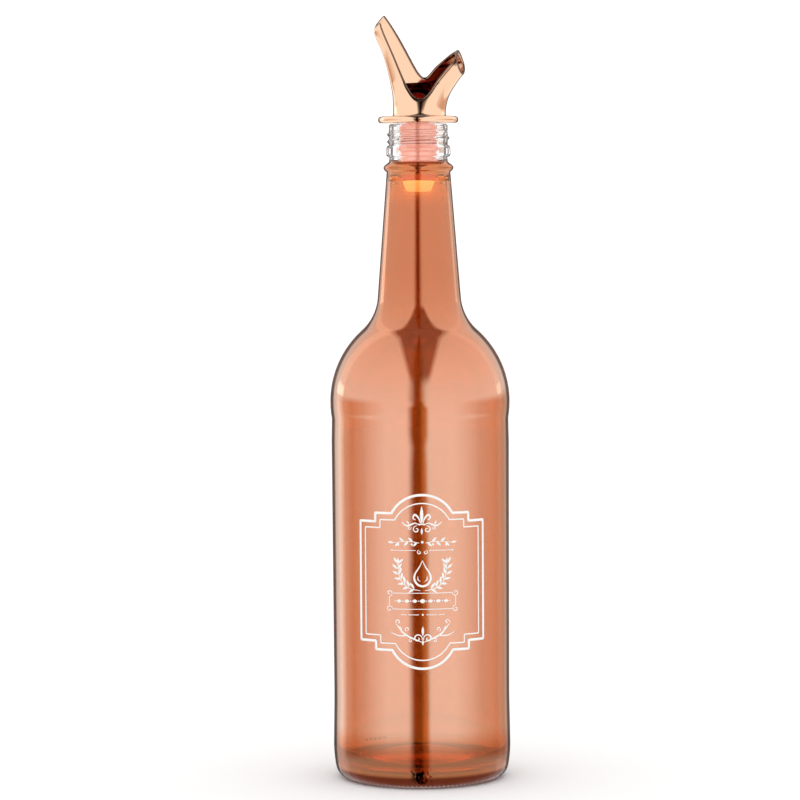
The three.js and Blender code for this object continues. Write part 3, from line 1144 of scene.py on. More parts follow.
@dataclass
class PourerHead:
    """The cast head: a round flange, and a fork of a long open horn and a short spout.

    The head is a field of distances in mm, below zero inside the metal, whose zero surface
    becomes the mesh.
    """

    flange_z: float = 286.6
    flange_thick: float = 3.0
    flange_r: float = 17.5
    flange_edge: float = 1.3
    wall: float = 1.3
    throat_r: float = 5.0
    throat_floor: float = 1.6
    roof_start_x: float = 15.9
    spout_end: Point = (18.7, 313.3)
    spout_rise: float = 39.7
    spout_r: float = 6.6
    spout_flare: float = 0.25
    spout_start_x: float = 3.0
    rim_y: Point = (-6.0, 6.5)
    edge_blend: float = 0.9
    tip_blend: float = 1.3
    floor_blend: float = 2.0
    hollow_blend: float = 0.8
    flange_blend: float = 1.2
    throat_blend: float = 0.5
    cell: float = 0.37
    # The next nine fields shape where the plating paints its dark rim reflection and its hollow shade.
    clear_of_flange: float = 2.0
    rim_reach: Point = (-0.62, -0.32)
    hollow_reach: Point = (0.45, 0.8)
    hollow_x: float = -5.2
    hollow_z: float = 300.5
    hollow_slope: float = 1.15
    hollow_soft: float = 0.8
    mouth_reach: Point = (12.5, 15.0)
    mouth_shade_lift: float = 0.6
    left: tuple[Point, ...] = (
        (288, -10.95), (297.6, -11.05), (302.8, -11.8), (308.1, -12.9), (313.3, -14.2), (318.5, -15.9),
        (322.8, -17.9), (326.3, -19), (329, -18.8), (331.5, -18.2), (334, -17.4), (336, -16.8),
    )
    right: tuple[Point, ...] = (
        (288, 12.1), (292.4, 12.15), (295, 12.6), (297.6, 13.35), (300.3, 14.6), (302.9, 16.3),
        (305.5, 18.1), (308.1, 20.3), (312, 23.8), (322, 33), (336, 45),
    )
    ridge: tuple[Point, ...] = ((288, 0.9), (298.5, 2.9), (305.5, 9.1), (313, 15.4), (320, 21), (336, 33))
    depth: tuple[Point, ...] = ((288, 11.4), (291, 11.3), (298, 9.4), (303, 7.9), (308, 7.2), (336, 6.6))
    squareness: tuple[Point, ...] = ((288, 2), (293, 2), (303, 2.4), (336, 2.6))
    rim_front: tuple[Point, ...] = (
        (-20.9, 337.2), (-18.4, 330.6), (-12.4, 317), (-6.6, 305.5), (-3.2, 301.2), (0.6, 298.9),
        (4.3, 300.6), (9.1, 306.5), (15.5, 313.4), (25, 320),
    )
    rim_back: tuple[Point, ...] = (
        (-13.6, 337.3), (-11.9, 333.9), (-5.3, 321.4), (-0.5, 311), (1.5, 307.7), (2.8, 306.8),
        (4.3, 307.5), (8.6, 312.4), (16.3, 319.7), (25, 322.5),
    )
    mouth: tuple[Spot, Spot] = ((18.7, 0.0, 313.5), (0.93, -0.24, 0.28))
    tip: tuple[Spot, Spot] = ((-14.2, 3.7, 335.3), (-0.745, -0.196, 0.637))
    curves: dict[str, SizeCurve] = field(default_factory=dict)
    rim_table: tuple[np.ndarray, np.ndarray, np.ndarray, np.ndarray] | None = None

    def __post_init__(self) -> None:
        """Samples the curves and the ruled surface between the two rims."""
        for name in ("left", "right", "ridge", "depth", "squareness"):
            self.curves[name] = SizeCurve(getattr(self, name))
        front, back = (catmull_rom(np.array(rim, float), 24) for rim in (self.rim_front, self.rim_back))
        xs, ys = np.arange(-22, 24, 0.1), np.arange(-19, 19.01, 0.25)
        heights = np.empty((len(xs), len(ys)))
        for j, y in enumerate(ys):
            held = min(max(y, -9.7), 9.7)
            t = (held - self.rim_y[0]) / (self.rim_y[1] - self.rim_y[0])
            line = front + (back - front) * t
            heights[:, j] = np.interp(xs, line[:, 0], line[:, 1])
        window = np.hanning(17)[1:-1]
        window /= window.sum()
        for j in range(len(ys)):
            ends = np.concatenate([np.full(7, heights[0, j]), heights[:, j], np.full(7, heights[-1, j])])
            heights[:, j] = np.convolve(ends, window, "valid")
        slope_x, slope_y = np.gradient(heights, 0.1, 0.25)
        self.rim_table = (xs, ys, heights, 1 / np.sqrt(1 + slope_x**2 + slope_y**2))

    def _over_rim(self, x: np.ndarray, y: np.ndarray, z: np.ndarray, drop: float = 0.0) -> np.ndarray:
        """Returns the distance over the ruled rim surface, moved down and right by a drop."""
        xs, ys, heights, scale = self.rim_table
        u = np.clip((x - drop - xs[0]) / 0.1, 0, len(xs) - 1.001)
        v = np.clip((y - ys[0]) / 0.25, 0, len(ys) - 1.001)
        i, j = u.astype(int), v.astype(int)
        a, b = u - i, v - j

        def read(table: np.ndarray) -> np.ndarray:
            """Reads a table between its samples."""
            low = table[i, j] * (1 - a) + table[i + 1, j] * a
            high = table[i, j + 1] * (1 - a) + table[i + 1, j + 1] * a
            return low * (1 - b) + high * b

        return (z + drop - read(heights)) * read(scale)

    def _body(self, x: np.ndarray, y: np.ndarray, z: np.ndarray, inset: float) -> np.ndarray:
        """Returns the distance outside the head's level sections, drawn in by an inset."""
        middle, power = self.curves["ridge"](z), self.curves["squareness"](z)
        across = x - middle
        reach = np.where(across > 0, self.curves["right"](z) - middle, middle - self.curves["left"](z)) - inset
        depth = self.curves["depth"](z) - inset
        u, v = np.abs(across) / reach, np.abs(y) / depth
        total = (u**power + v**power) ** (1 / power)
        safe = np.maximum(total, 1e-6)
        slope_u, slope_v = (u / safe) ** (power - 1) / reach, (v / safe) ** (power - 1) / depth
        return (total - 1) / np.sqrt(slope_u**2 + slope_v**2 + 1e-9)

    @staticmethod
    def _plane(plane: tuple[Spot, Spot], x: np.ndarray, y: np.ndarray, z: np.ndarray) -> np.ndarray:
        """Returns the distance on the outer side of a plane given as a point and a normal."""
        (px, py, pz), normal = plane
        nx, ny, nz = np.array(normal) / np.linalg.norm(normal)
        return (x - px) * nx + (y - py) * ny + (z - pz) * nz

    def _past_spout(self, x: np.ndarray, y: np.ndarray, z: np.ndarray, inset: float) -> np.ndarray:
        """Returns the distance outside the round of the spout, counted above its middle line only."""
        rise = math.radians(self.spout_rise)
        dx, dz = x - self.spout_end[0], z - self.spout_end[1]
        along = dx * math.cos(rise) + dz * math.sin(rise)
        up = dz * math.cos(rise) - dx * math.sin(rise)
        cone = np.sqrt(up**2 + y**2) - (self.spout_r - inset - self.spout_flare * along)
        return smooth_min(smooth_min(up + 1.0, x - self.spout_start_x, 2.0), cone, 2.0)

    def distance(self, x: np.ndarray, y: np.ndarray, z: np.ndarray) -> np.ndarray:
        """Returns how far each point lies outside the metal, in mm, below zero inside it."""
        rim = self._over_rim(x, y, z)
        head = smooth_max(self._body(x, y, z, 0.0), rim, self.edge_blend)
        head = smooth_max(head, self._plane(self.mouth, x, y, z), self.edge_blend)
        head = smooth_max(head, self._plane(self.tip, x, y, z), self.tip_blend)
        head = smooth_max(head, self._past_spout(x, y, z, 0.0), self.edge_blend)
        top = self.flange_z + self.flange_thick
        hollow = smooth_max(self._body(x, y, z, self.wall), top + self.throat_floor - z, self.floor_blend)
        roof = np.minimum(self._over_rim(x, y, z, self.wall * math.sqrt(0.5)), x - self.roof_start_x)
        hollow = smooth_max(hollow, roof, self.hollow_blend)
        hollow = smooth_max(hollow, self._past_spout(x, y, z, self.wall), self.hollow_blend)
        head = smooth_max(head, -hollow, self.edge_blend)
        out = np.sqrt(x**2 + y**2)
        edge, half = self.flange_edge, self.flange_thick / 2
        q = out - (self.flange_r - edge)
        p = np.abs(z - self.flange_z - half) - (half - edge)
        flange = np.sqrt(np.maximum(q, 0) ** 2 + np.maximum(p, 0) ** 2) + np.minimum(np.maximum(q, p), 0) - edge
        head = smooth_max(head, top - 1 - z, 0.4)
        whole = smooth_min(head, flange, self.flange_blend)
        throat = np.minimum(self.throat_r - out, top + 3 - z)
        return smooth_max(whole, throat, self.throat_blend)

    def _mark_painted_dark(self, mesh: bpy.types.Mesh, points: np.ndarray) -> None:
        """Stores where the cut rims and the deep hollow lie, for the plating's painted dark reflection on the rims
        and painted shade in the hollow.

        Args:
            mesh: the head's mesh.
            points: its points, in mm.
        """
        x, y, z = points.T
        rims = [self._over_rim(x, y, z), self._plane(self.mouth, x, y, z), self._plane(self.tip, x, y, z)]
        nearest = np.max([*rims, np.where(x > self.spout_start_x, self._past_spout(x, y, z, 0.0), -9.0)], 0)
        above = z > self.flange_z + self.flange_thick + self.clear_of_flange
        # Painted dark reflection along the cut rims.
        rim = np.interp(nearest, self.rim_reach, (0, 1)) * above
        # Painted shade in the hollow, lighter towards the spout's mouth.
        inner = np.interp(-self._body(x, y, z, 0.0), self.hollow_reach, (0, 1))
        past = x - self.hollow_x - self.hollow_slope * np.maximum(z - self.hollow_z, 0)
        opening = 1 - self.mouth_shade_lift * np.interp(x, self.mouth_reach, (0, 1))
        deep = inner * np.clip(past / self.hollow_soft, 0, 1) * opening * above
        store_numbers(mesh, {"rim": rim, "hollow": deep * (1 - rim)})

    def build(self, plating: bpy.types.Material) -> bpy.types.Object:
        """Builds and dresses the head.

        Args:
            plating: its material.

        Returns:
            The piece.
        """
        low, high = (-20.4, -18.2, self.flange_z - 0.9), (22.0, 18.2, 336.0)
        points, faces = surface_net(self.distance, low, high, self.cell)
        mesh = bpy.data.meshes.new("pourer")
        mesh.from_pydata((points * MM).tolist(), [], faces.tolist())
        mesh.materials.append(plating)
        mesh.shade_smooth()
        self._mark_painted_dark(mesh, points)
        outward(mesh)
        return settle(place_mesh("pourer_horns", mesh), Slot.PLATING, "pourer_head")


def surface_net(distance: Field, low: Spot, high: Spot, cell: float) -> tuple[np.ndarray, np.ndarray]:
    """Meshes the zero surface of a field.

    Args:
        distance: the field.
        low: the lowest corner of the box that is searched, in mm.
        high: its highest corner, in mm.
        cell: the size of a grid cell, in mm.

    Returns:
        The points and the four-sided faces.
    """
    axes = [np.arange(a, b + cell, cell) for a, b in zip(low, high)]
    x, y, z = np.meshgrid(*axes, indexing="ij", sparse=False)
    values = distance(x, y, z)
    inside = values < 0
    shape = np.array(values.shape) - 1
    count = np.zeros(shape, int)
    corners = [(i, j, k) for i in (0, 1) for j in (0, 1) for k in (0, 1)]
    for i, j, k in corners:
        count += inside[i : i + shape[0], j : j + shape[1], k : k + shape[2]]
    cells = np.argwhere((count > 0) & (count < 8))
    number = -np.ones(shape, int)
    number[tuple(cells.T)] = np.arange(len(cells))
    total, hits = np.zeros((len(cells), 3)), np.zeros(len(cells))
    for axis in range(3):
        unit = np.eye(3, dtype=int)[axis]
        for corner in corners:
            if corner[axis]:
                continue
            start = cells + corner
            a, b = values[tuple(start.T)], values[tuple((start + unit).T)]
            crossed = (a < 0) != (b < 0)
            t = np.where(crossed, a / np.where(crossed, a - b, 1), 0)
            place = np.array(corner) + t[:, None] * unit
            total += place * crossed[:, None]
            hits += crossed
    points = np.array(low) + cell * (cells + total / hits[:, None])
    points = settle_on(distance, points, cell)
    faces = []
    for axis in range(3):
        unit = np.eye(3, dtype=int)[axis]
        u, v = np.eye(3, dtype=int)[(axis + 1) % 3], np.eye(3, dtype=int)[(axis + 2) % 3]
        ahead = np.roll(inside, -1, axis)
        changed = inside != ahead
        changed[tuple(slice(-1, None) if i == axis else slice(None) for i in range(3))] = False
        edges = np.argwhere(changed)
        edges = edges[(edges @ u > 0) & (edges @ v > 0)]
        edges = edges[((edges < shape) | (unit == 1)).all(1)]
        ring = [number[tuple((edges - shift).T)] for shift in (0 * u, u, u + v, v)]
        quad = np.stack(ring, 1)
        outwards = inside[tuple(edges.T)]
        quad[~outwards] = quad[~outwards][:, ::-1]
        faces.append(quad[(quad >= 0).all(1)])
    return points, np.vstack(faces)


def settle_on(distance: Field, points: np.ndarray, cell: float) -> np.ndarray:
    """Moves points onto the zero surface of a field.

    Args:
        distance: the field.
        points: the points, in mm.
        cell: the grid cell that they came from, in mm.

    Returns:
        The moved points.
    """
    small = 0.02
    for _ in range(3):
        value = distance(*points.T)
        slope = np.stack([
            distance(*(points + small * unit).T) - distance(*(points - small * unit).T) for unit in np.eye(3)
        ], 1) / (2 * small)
        size = np.maximum((slope**2).sum(1), 0.05)
        move = -(value / size)[:, None] * slope
        length = np.linalg.norm(move, axis=1, keepdims=True)
        points = points + move * np.minimum(1, 0.4 * cell / np.maximum(length, 1e-9))
    return points


# ---------------------------------------------------------------- the print


@dataclass
class Stroke:
    """One line of ink: points on the flat print and the width at each, in mm."""

    points: list[Point]
    widths: list[float]


def about(x: float, z: float, *points: Point) -> list[Point]:
    """Moves points so that they count from a place on the print, in mm."""
    return [(x + a, z + b) for a, b in points]


@dataclass
class FrontPrint:
    """The white print wrapped round the front panel: a stepped frame with ornament."""

    centre: Point = (0.5, 90.1)
    lift: float = 0.03
    thick: float = 0.05

    def frame_line(self, half: Point, shelf: Point, arc_half: float, apex: float, width: float) -> Stroke:
        """Draws one closed line of the stepped frame.

        Args:
            half: half the width and half the height of the plain sides, in mm.
            shelf: half the width and half the height of the step, in mm.
            arc_half: half the chord of the top and bottom arc, in mm.
            apex: the height of the arc's top over the middle, in mm.
            width: the line's width, in mm.

        Returns:
            The stroke.
        """
        sagitta = apex - shelf[1]
        radius = (arc_half**2 + sagitta**2) / (2 * sagitta)
        spread = math.degrees(math.asin(min(1.0, arc_half / radius)))
        top = arc((0.0, apex - radius), radius, 90 - spread, 90 + spread, 40)
        right = [(half[0], 0.0), (half[0], half[1]), (shelf[0], half[1]), (shelf[0], shelf[1])]
        left = [(-x, z) for x, z in reversed(right)]
        upper = right + top + left
        lower = [(-x, -z) for x, z in upper][1:]
        corners = upper + lower
        bend = [0.35 * (abs(abs(x) - half[0]) + abs(abs(x) - shelf[0]) < 10) for x, _ in corners]
        loop = [(x + self.centre[0], z + self.centre[1]) for x, z in rounded(corners, bend, 3)]
        return Stroke(loop, [width] * len(loop))

    def leaf(self, root: Point, angle: float, length: float, width: float) -> Stroke:
        """Draws a pointed leaf.

        Args:
            root: where it starts, in mm.
            angle: which way it points, in degrees.
            length: its length, in mm.
            width: its width at the middle, in mm.

        Returns:
            The stroke.
        """
        a = math.radians(angle)
        spots = np.linspace(0, 1, 9)
        points = [(root[0] + length * t * math.cos(a), root[1] + length * t * math.sin(a)) for t in spots]
        return Stroke(points, [max(0.08, width * math.sin(math.pi * t) ** 0.9) for t in spots])

    def curl(self, centre: Point, outer: float, inner: float, start: float, sweep: float, width: float) -> Stroke:
        """Draws a scroll that winds inwards.

        Args:
            centre: its middle, in mm.
            outer: its first radius, in mm.
            inner: its last radius, in mm.
            start: the first angle, in degrees.
            sweep: how far it turns, in degrees, below zero for clockwise.
            width: its width at the start, in mm.

        Returns:
            The stroke.
        """
        spots = np.linspace(0, 1, 26)
        points = []
        for t in spots:
            a, r = math.radians(start + sweep * t), outer + (inner - outer) * t
            points.append((centre[0] + r * math.cos(a), centre[1] + r * math.sin(a)))
        return Stroke(points, [width * (0.55 + 0.45 * math.sin(math.pi * t)) for t in spots])

    def bend(self, corners: Sequence[Point], widths: Sequence[float]) -> Stroke:
        """Draws a smooth line through points.

        Args:
            corners: the points, in mm.
            widths: its widths, spread evenly from end to end, in mm.

        Returns:
            The stroke.
        """
        line = catmull_rom(np.array(corners, float), 8)
        spread = np.interp(np.linspace(0, 1, len(line)), np.linspace(0, 1, len(widths)), widths)
        return Stroke([tuple(p) for p in line], list(spread))

    def dot(self, centre: Point, size: float) -> Stroke:
        """Draws a small round spot."""
        half = size / 2
        spots = np.linspace(-0.96, 0.96, 9)
        points = [(centre[0] + half * t, centre[1]) for t in spots]
        return Stroke(points, [size * math.sqrt(1 - t * t) for t in spots])

    def both_sides(self, strokes: Sequence[Stroke], middle: float) -> list[Stroke]:
        """Returns strokes together with their mirror images about an upright line."""
        mirrored = [Stroke([(2 * middle - x, z) for x, z in s.points], s.widths) for s in strokes]
        return [*strokes, *mirrored]

    def crest(self, x: float, z: float) -> list[Stroke]:
        """Draws the winged ornament under the top arc, with its bar at a height."""
        side = [
            self.bend(about(x, z, (0.5, 0.4), (1.3, 2.6), (2.9, 4.2), (3.7, 2.7), (2.6, 1.9)), [0.35, 0.8, 0.7, 0.3]),
            self.bend(about(x, z, (0.8, -0.4), (2.8, 0.5), (4.6, -0.1), (6.4, -0.6), (8.7, 0.9)),
                      [0.3, 0.5, 0.75, 0.7, 0.2]),
            self.leaf((x + 5.4, z - 0.1), 60, 1.9, 0.7),
            self.curl((x + 2.3, z - 2.2), 1.6, 0.3, 100, -400, 0.5),
            self.curl((x + 5.3, z - 1.5), 0.8, 0.2, 160, 360, 0.35),
        ]
        return [
            self.leaf((x, z + 0.2), 90, 7.6, 1.5),
            self.leaf((x, z - 1.6), -90, 2.9, 0.9),
            Stroke([(x - 1.5, z), (x + 1.5, z)], [0.55, 0.55]),
            *self.both_sides(side, x),
        ]

    def sprig(self, x: float, z: float, half: float, size: float) -> list[Stroke]:
        """Draws two olive twigs that lie end to end from the middle outwards."""
        side = [self.bend([(x + 1.4, z - 0.3), (x + half * 0.5, z + 0.35), (x + half, z - 0.2)], [0.3, 0.28, 0.12])]
        count = int((half - 2) / (size * 0.72))
        for i in range(count):
            place = (x + 2.1 + i * size * 0.72, z - 0.1 + 0.35 * math.sin(math.pi * (i + 0.5) / count))
            side.append(self.leaf(place, 42 if i % 2 else -42, size, size * 0.36))
            if i % 3 == 1:
                side.append(self.dot((place[0] + 0.5, place[1] - size * 0.42), size * 0.36))
        side.append(self.leaf((x + half - 0.2, z - 0.2), 4, size, size * 0.34))
        return [self.dot((x, z), size * 0.42), *self.both_sides(side, x)]

    def emblem(self, x: float, z: float) -> list[Stroke]:
        """Draws the drop between two upright olive branches that fills the middle of the frame."""
        drop = about(x, z, (0, 6.2), (1.3, 3.4), (3.1, 0.6), (3.5, -1.9), (2.1, -4.2), (0, -5.0))
        side = [
            self.bend(drop, [0.2, 0.55, 0.8, 0.9, 0.9]),
            self.bend(about(x, z, (0.9, -3.0), (1.9, -2.0), (2.0, -0.6)), [0.15, 0.5, 0.15]),
            self.bend(about(x, z, (1.0, -6.8), (6.0, -5.6), (9.6, -1.8), (10.6, 4.2)), [0.25, 0.4, 0.35, 0.15]),
        ]
        for i in range(7):
            turn = math.radians(-78 + i * 14.5)
            place = (x + 1.6 + 9.2 * math.cos(turn), z + 3.4 + 9.6 * math.sin(turn))
            lean = math.degrees(turn) + 90
            side.append(self.leaf(place, lean + 44, 3.1, 1.05))
            side.append(self.leaf(place, lean - 44, 3.1, 1.05))
            if i % 2:
                side.append(self.dot((place[0] - 1.3 * math.cos(turn), place[1] - 1.3 * math.sin(turn)), 1.0))
        side.append(self.leaf((x + 10.5, z + 4.0), 88, 3.2, 1.0))
        return self.both_sides(side, x)

    def foot_scroll(self, x: float, z: float) -> list[Stroke]:
        """Draws the scrollwork over the bottom arc."""
        side = [
            self.curl((x + 2.2, z), 2.0, 0.4, 200, -430, 0.6),
            self.bend(about(x, z, (0.4, -1.6), (4.8, 0.2), (8.4, 2.4), (11.6, 6.3)), [0.3, 0.75, 0.75, 0.25]),
            self.curl((x + 10.6, z + 7.0), 1.2, 0.2, -20, 330, 0.45),
            self.curl((x + 6.6, z + 3.9), 1.1, 0.2, -60, 360, 0.4),
            self.curl((x + 5.2, z - 0.9), 0.9, 0.2, 120, -360, 0.35),
            self.bend(about(x, z, (7.4, 1.2), (10.6, 1.2), (13.8, 2.6)), [0.5, 0.55, 0.15]),
            self.leaf((x + 8.9, z + 3.1), 60, 2.6, 0.8),
        ]
        spear = [self.leaf((x, z + 1.0), 90, 4.2, 1.1), self.leaf((x, z - 0.6), -90, 2.4, 0.8)]
        return [*spear, *self.both_sides(side, x)]

    def box_line(self, low: Point, high: Point) -> list[Stroke]:
        """Draws a thin oblong with a knot at each corner."""
        (x0, z0), (x1, z1) = low, high
        cut = 1.5
        lines = [Stroke([(x0 + cut, z), (x1 - cut, z)], [0.3, 0.3]) for z in (z0, z1)]
        lines += [Stroke([(x, z0 + cut), (x, z1 - cut)], [0.3, 0.3]) for x in (x0, x1)]
        for x, z, start in ((x0, z0, 0), (x1, z0, 90), (x1, z1, 180), (x0, z1, 270)):
            lines.append(self.curl((x, z), 1.5, 0.25, start, 400, 0.4))
        return lines

    @staticmethod
    def refined(stroke: Stroke, longest: float = 0.9) -> Stroke:
        """Splits a stroke's long spans, so that it follows the round glass.

        Args:
            stroke: the stroke.
            longest: the longest span that is left, in mm.

        Returns:
            The finer stroke.
        """
        points, widths = [stroke.points[0]], [stroke.widths[0]]
        spans = zip(stroke.points, stroke.points[1:], stroke.widths, stroke.widths[1:])
        for a, b, u, v in spans:
            count = max(1, math.ceil(math.dist(a, b) / longest))
            for i in range(1, count + 1):
                t = i / count
                points.append((a[0] + (b[0] - a[0]) * t, a[1] + (b[1] - a[1]) * t))
                widths.append(u + (v - u) * t)
        return Stroke(points, widths)

    def strokes(self) -> list[Stroke]:
        """Returns every line of the print."""
        x = self.centre[0] + 0.1
        rule = [
            Stroke([(x + 2.9, 103.7), (x + 12.9, 103.7)], [0.28, 0.28]),
            self.dot((x + 13.2, 103.7), 0.8),
            self.curl((x + 1.3, 102.9), 1.0, 0.2, 80, -380, 0.4),
        ]
        lozenges = [self.leaf((x + step - 1.1, 81.9), 0, 2.2, 1.5) for step in (3.4, 6.8, 10.2)]
        dots = [self.dot((x + step, 81.9), 0.5) for step in (1.7, 5.1, 8.5, 11.9)]
        dashes = [Stroke([(x + a, 76.0), (x + b, 76.0)], [0.3, 0.3]) for a, b in ((1.6, 6.2), (7.0, 9.4))]
        return [
            self.frame_line((28.8, 25.75), (20.9, 29.45), 13.2, 37.35, 1.1),
            self.frame_line((26.1, 23.15), (18.6, 26.6), 11.8, 33.75, 0.55),
            *self.crest(x - 0.2, 114.9),
            *self.sprig(x, 107.2, 12.6, 2.7),
            *self.both_sides(rule, x),
            *self.emblem(x, 93.2),
            *self.box_line((x - 14.5, 78.4), (x + 14.5, 85.3)),
            self.leaf((x - 1.3, 81.9), 0, 2.6, 1.9),
            *self.both_sides([*lozenges, *dots], x),
            self.dot((x, 76.0), 0.9),
            *self.both_sides(dashes, x),
            *self.foot_scroll(x, 65.8),
        ]

    def build(self, glass: GlassBottle, ink: bpy.types.Material) -> bpy.types.Object:
        """Builds and dresses the print.

        Args:
            glass: the bottle that it is wrapped round.
            ink: its material.

        Returns:
            The piece.
        """
        tree = Tree("print_line")
        graph = tree.graph
        low_r, slope = tree.size("Radius At Base"), tree.size("Radius Slope")
        lift, thick = tree.size("Lift"), tree.size("Thickness")
        material = tree.size("Ink", "NodeSocketMaterial")
        curve = graph.out("GeometryNodeMeshToCurve", {"Mesh": tree.entry.outputs["Geometry"]})
        flat = graph.out("GeometryNodeSetCurveNormal", {"Curve": curve, "Normal": (0, -1, 0)}, {"mode": "FREE"})
        section = graph.out("GeometryNodeCurvePrimitiveQuadrilateral", {"Width": 1.0, "Height": 1.0})
        line = {"Curve": flat, "Profile Curve": section, "Scale": tree.read("width"), "Fill Caps": True}
        swept = graph.out("GeometryNodeCurveToMesh", line)
        across, proud, up = graph.split(tree.here())
        glass_r = low_r + slope * up
        angle = across / glass_r
        reach = glass_r + lift + thick * (-proud).above(0.0)
        target = graph.join(reach * graph.math("SINE", angle), -(reach * graph.math("COSINE", angle)), up)
        tree.close(tree.move(swept, target), material)
        strokes = [self.refined(stroke) for stroke in self.strokes()]
        widths = [width * MM for stroke in strokes for width in stroke.widths]
        source = wire("print_lines", [stroke.points for stroke in strokes], {"width": widths})
        values = {
            "Radius At Base": glass.panel_radius(0.0) * MM,
            "Radius Slope": glass.panel_radius(1.0) - glass.panel_radius(0.0),
            "Lift": self.lift * MM,
            "Thickness": self.thick * MM,
            "Ink": ink,
        }
        return settle(tree.run(source, values, "front_print"), Slot.PRINT)


# ---------------------------------------------------------------- the studio


@dataclass(frozen=True)
class Strip:
    """An upright strip of brighter light, from one pair of azimuths to another, in degrees."""

    start: Point
    end: Point
    gain: float
    neck_gain: float


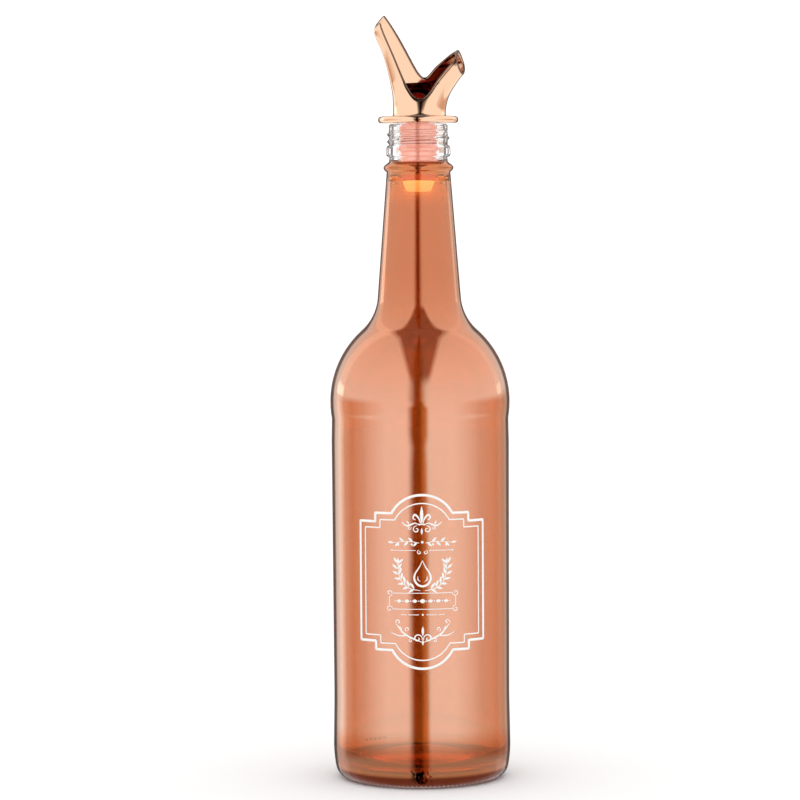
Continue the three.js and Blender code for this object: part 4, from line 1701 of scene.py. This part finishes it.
@dataclass
class Studio:
    """A pale floor, soft white light all round, and the camera of the photograph.

    The light is even for everything but gloss. In gloss it has a dark gap by the camera, warm
    reflectors low at the sides, a dark patch overhead, a dim ring far behind and two brighter
    strips. Pairs are the angles in degrees, or the parts of the direction, where one passes
    into the next.
    """

    focal: float = 3247.0
    distance: float = 1420.0
    eye_z: float = 251.2
    pitch: float = 3.44
    roll: float = -0.39
    aim_offset: float = 20.0
    frame_width: int = 800
    light: float = 1.15
    floor_half: float = 4.0
    floor_shade: float = 0.95
    gap_centre: float = -2.2
    gap_half: float = 8.0
    gap_spread: float = 3.4
    gap_spreads: Point = (-8.0, -1.0)
    gap_lean: float = 1.2
    gap_soft: tuple[float, float, float] = (7.5, 3.5, 4.0)
    raised: Point = (-1.0, 5.0)
    doorway: Colour = (0.55, 0.2, 0.06)
    doorway_side: Point = (0.0, 8.0)
    reflector: Colour = (0.6, 0.37, 0.255)
    reflector_full: float = 0.58
    reflector_band: tuple[Point, Point] = ((-16.0, -10.5), (-2.5, 4.0))
    overhead_from: Point = (0.3, 0.6)
    overhead_to: Point = (0.5, 0.7)
    overhead_half: tuple[float, float, float] = (0.03, 0.27, 0.28)
    overhead_soft: float = 0.1
    overhead_dark: float = 0.88
    edge_band: tuple[Point, Point] = ((7.0, 12.0), (27.0, 37.0))
    edge_dark: float = 0.84
    neck_band: tuple[Point, Point] = ((1.0, 2.5), (6.0, 9.0))
    strips: tuple[Strip, Strip] = (
        Strip((-138.0, -133.0), (-120.0, -115.0), 0.2, 0.8),
        Strip((117.0, 121.0), (129.0, 132.0), 0.1, 0.4),
    )
    levels: tuple[tuple[float, float], ...] = (
        (-180, 0.9), (-150, 0.7), (-142, 0.95), (-128, 1.0), (-118, 0.62), (-100, 0.42), (-80, 0.6), (-62, 0.82),
        (-45, 1.0), (-20, 0.98), (0, 0.98), (20, 1.0), (45, 1.0), (62, 0.85), (85, 0.6), (115, 0.45),
        (140, 0.5), (156, 0.85), (180, 0.9),
    )

    def camera(self) -> None:
        """Places the camera."""
        data = bpy.data.cameras.new("photo_camera")
        data.sensor_width = 36.0
        data.lens = self.focal / self.frame_width * data.sensor_width
        data.clip_start, data.clip_end = 0.05, 50.0
        camera = bpy.data.objects.new("photo_camera", data)
        yaw = Matrix.Rotation(math.atan(self.aim_offset / self.focal), 4, "Z")
        tilt = Matrix.Rotation(math.radians(90 - self.pitch), 4, "X")
        roll = Matrix.Rotation(math.radians(self.roll), 4, "Z")
        camera.matrix_world = Matrix.Translation((0, -self.distance * MM, self.eye_z * MM)) @ yaw @ tilt @ roll
        bpy.context.scene.collection.objects.link(camera)
        bpy.context.scene.camera = camera

    def _gap(self, azimuth: Term, rise: Term, y: Term) -> tuple[Term, Term]:
        """Works out the dark gap by the camera.

        Args:
            azimuth: the direction's angle from the front, in degrees.
            rise: its angle over the horizon, in degrees.
            y: how far it points backwards.

        Returns:
            How much of the gap shows, and how far the direction lies to the gap's right, in degrees.
        """
        raised = rise.step(*self.raised)
        half = self.gap_half + self.gap_spread * (1.0 - rise.step(*self.gap_spreads))
        off = azimuth - self.gap_centre + raised * self.gap_lean
        soft, softer_left, softer_up = self.gap_soft
        soft = soft + softer_left * (1.0 - off.above(0.0)) + raised * softer_up
        aside = ((abs(off) - half) / soft + 0.5).step(0.0, 1.0)
        return (1.0 - aside) * (1.0 - y.above(0.0)), off

    def world(self) -> None:
        """Builds the light: even white, with the studio's dark and bright parts seen only in gloss."""
        world = bpy.data.worlds.new("studio")
        bpy.context.scene.world = world
        world.use_nodes = True
        world.node_tree.nodes.clear()
        graph = Graph(world.node_tree)
        x, y, z = graph.split(graph.node("ShaderNodeTexCoord").outputs["Generated"])
        azimuth = graph.math("ARCTAN2", x, -y) * (180 / math.pi)
        rise = graph.math("ARCSINE", z) * (180 / math.pi)
        behind = graph.math("ARCCOSINE", y) * (180 / math.pi)
        stops = [((a + 180) / 360, level) for a, level in self.levels]
        ring = graph.term("ShaderNodeValToRGB", 0, {"stops": stops}, {0: (azimuth + 180.0) / 360.0})
        warmth = ((1.0 - ring) / self.reflector_full * rise.band(*self.reflector_band)).held()
        gap, off = self._gap(azimuth, rise, y)
        narrow, wider_up, wider_back = self.overhead_half
        beside = ((abs(x) - narrow - z * wider_up - y.at_least(0.0) * wider_back) / self.overhead_soft).held()
        overhead = (1.0 - beside) * z.step(*self.overhead_from) * (1.0 - y.step(*self.overhead_to))
        edge = behind.band(*self.edge_band) * self.edge_dark
        at_neck = rise.band(*self.neck_band)
        bright = 1.0
        for strip in self.strips:
            bright = azimuth.band(strip.start, strip.end) * (strip.gain + strip.neck_gain * at_neck) + bright
        lit = bright * (1.0 - overhead * self.overhead_dark) * (1.0 - edge) * self.light
        mirrored = graph.mirrored()
        strength = self.light + (lit - self.light) * mirrored
        opening = graph.mix(off.step(*self.doorway_side), (0.0, 0.0, 0.0), self.doorway)
        seen = graph.mix(gap, graph.mix(warmth, (1.0, 1.0, 1.0), self.reflector), opening)
        colour = graph.mix(mirrored, (1.0, 1.0, 1.0), seen)
        light = graph.out("ShaderNodeBackground", {"Color": colour, "Strength": strength})
        graph.feed(graph.node("ShaderNodeOutputWorld").inputs["Surface"], light)

    def floor(self) -> None:
        """Lays the floor, which gloss looks through to the light below."""
        paint = Paint("studio_floor")
        shade = (self.floor_shade, self.floor_shade, self.floor_shade, 1.0)
        pale = paint.principled({"Base Color": shade, "Roughness": 1.0, "Specular IOR Level": 0.0})
        hidden = paint.out("ShaderNodeBsdfTransparent")
        mesh = bpy.data.meshes.new("studio_floor")
        h = self.floor_half
        mesh.from_pydata([(-h, -h, 0), (h, -h, 0), (h, h, 0), (-h, h, 0)], [], [(0, 1, 2, 3)])
        both = paint.out("ShaderNodeMixShader", {0: paint.mirrored(), 1: pale, 2: hidden})
        mesh.materials.append(paint.finish(both))
        place_mesh("studio_floor", mesh)

    def build(self) -> None:
        """Builds the whole studio."""
        self.camera()
        self.world()
        self.floor()
        bpy.context.scene.view_settings.view_transform = "Standard"
        log.info("studio ready")


def main() -> None:
    """Builds the scene."""
    logging.basicConfig(level=logging.INFO, format="%(name)s: %(message)s")
    Studio().build()
    clear, coat = ClearGlass().make(), CopperCoat().make()
    bottle = GlassBottle()
    bottle.build(clear, coat)
    # The dots take a darker copy of the coat: painted shade for the dark edges that they show.
    dark = CopperCoat("pressed_dot_painted_shade", tint=(0.3, 0.05, 0.01), share=0.8, fade_share=0.8, mirror=(0.2, 0.05, 0.02))
    MouldDots().build(dark.make())
    StopperPlug().build(RosePlastic().make())
    PourerHead().build(RoseGold().make())
    FrontPrint().build(bottle, WhiteInk().make())


if __name__ == "__main__":
    main()
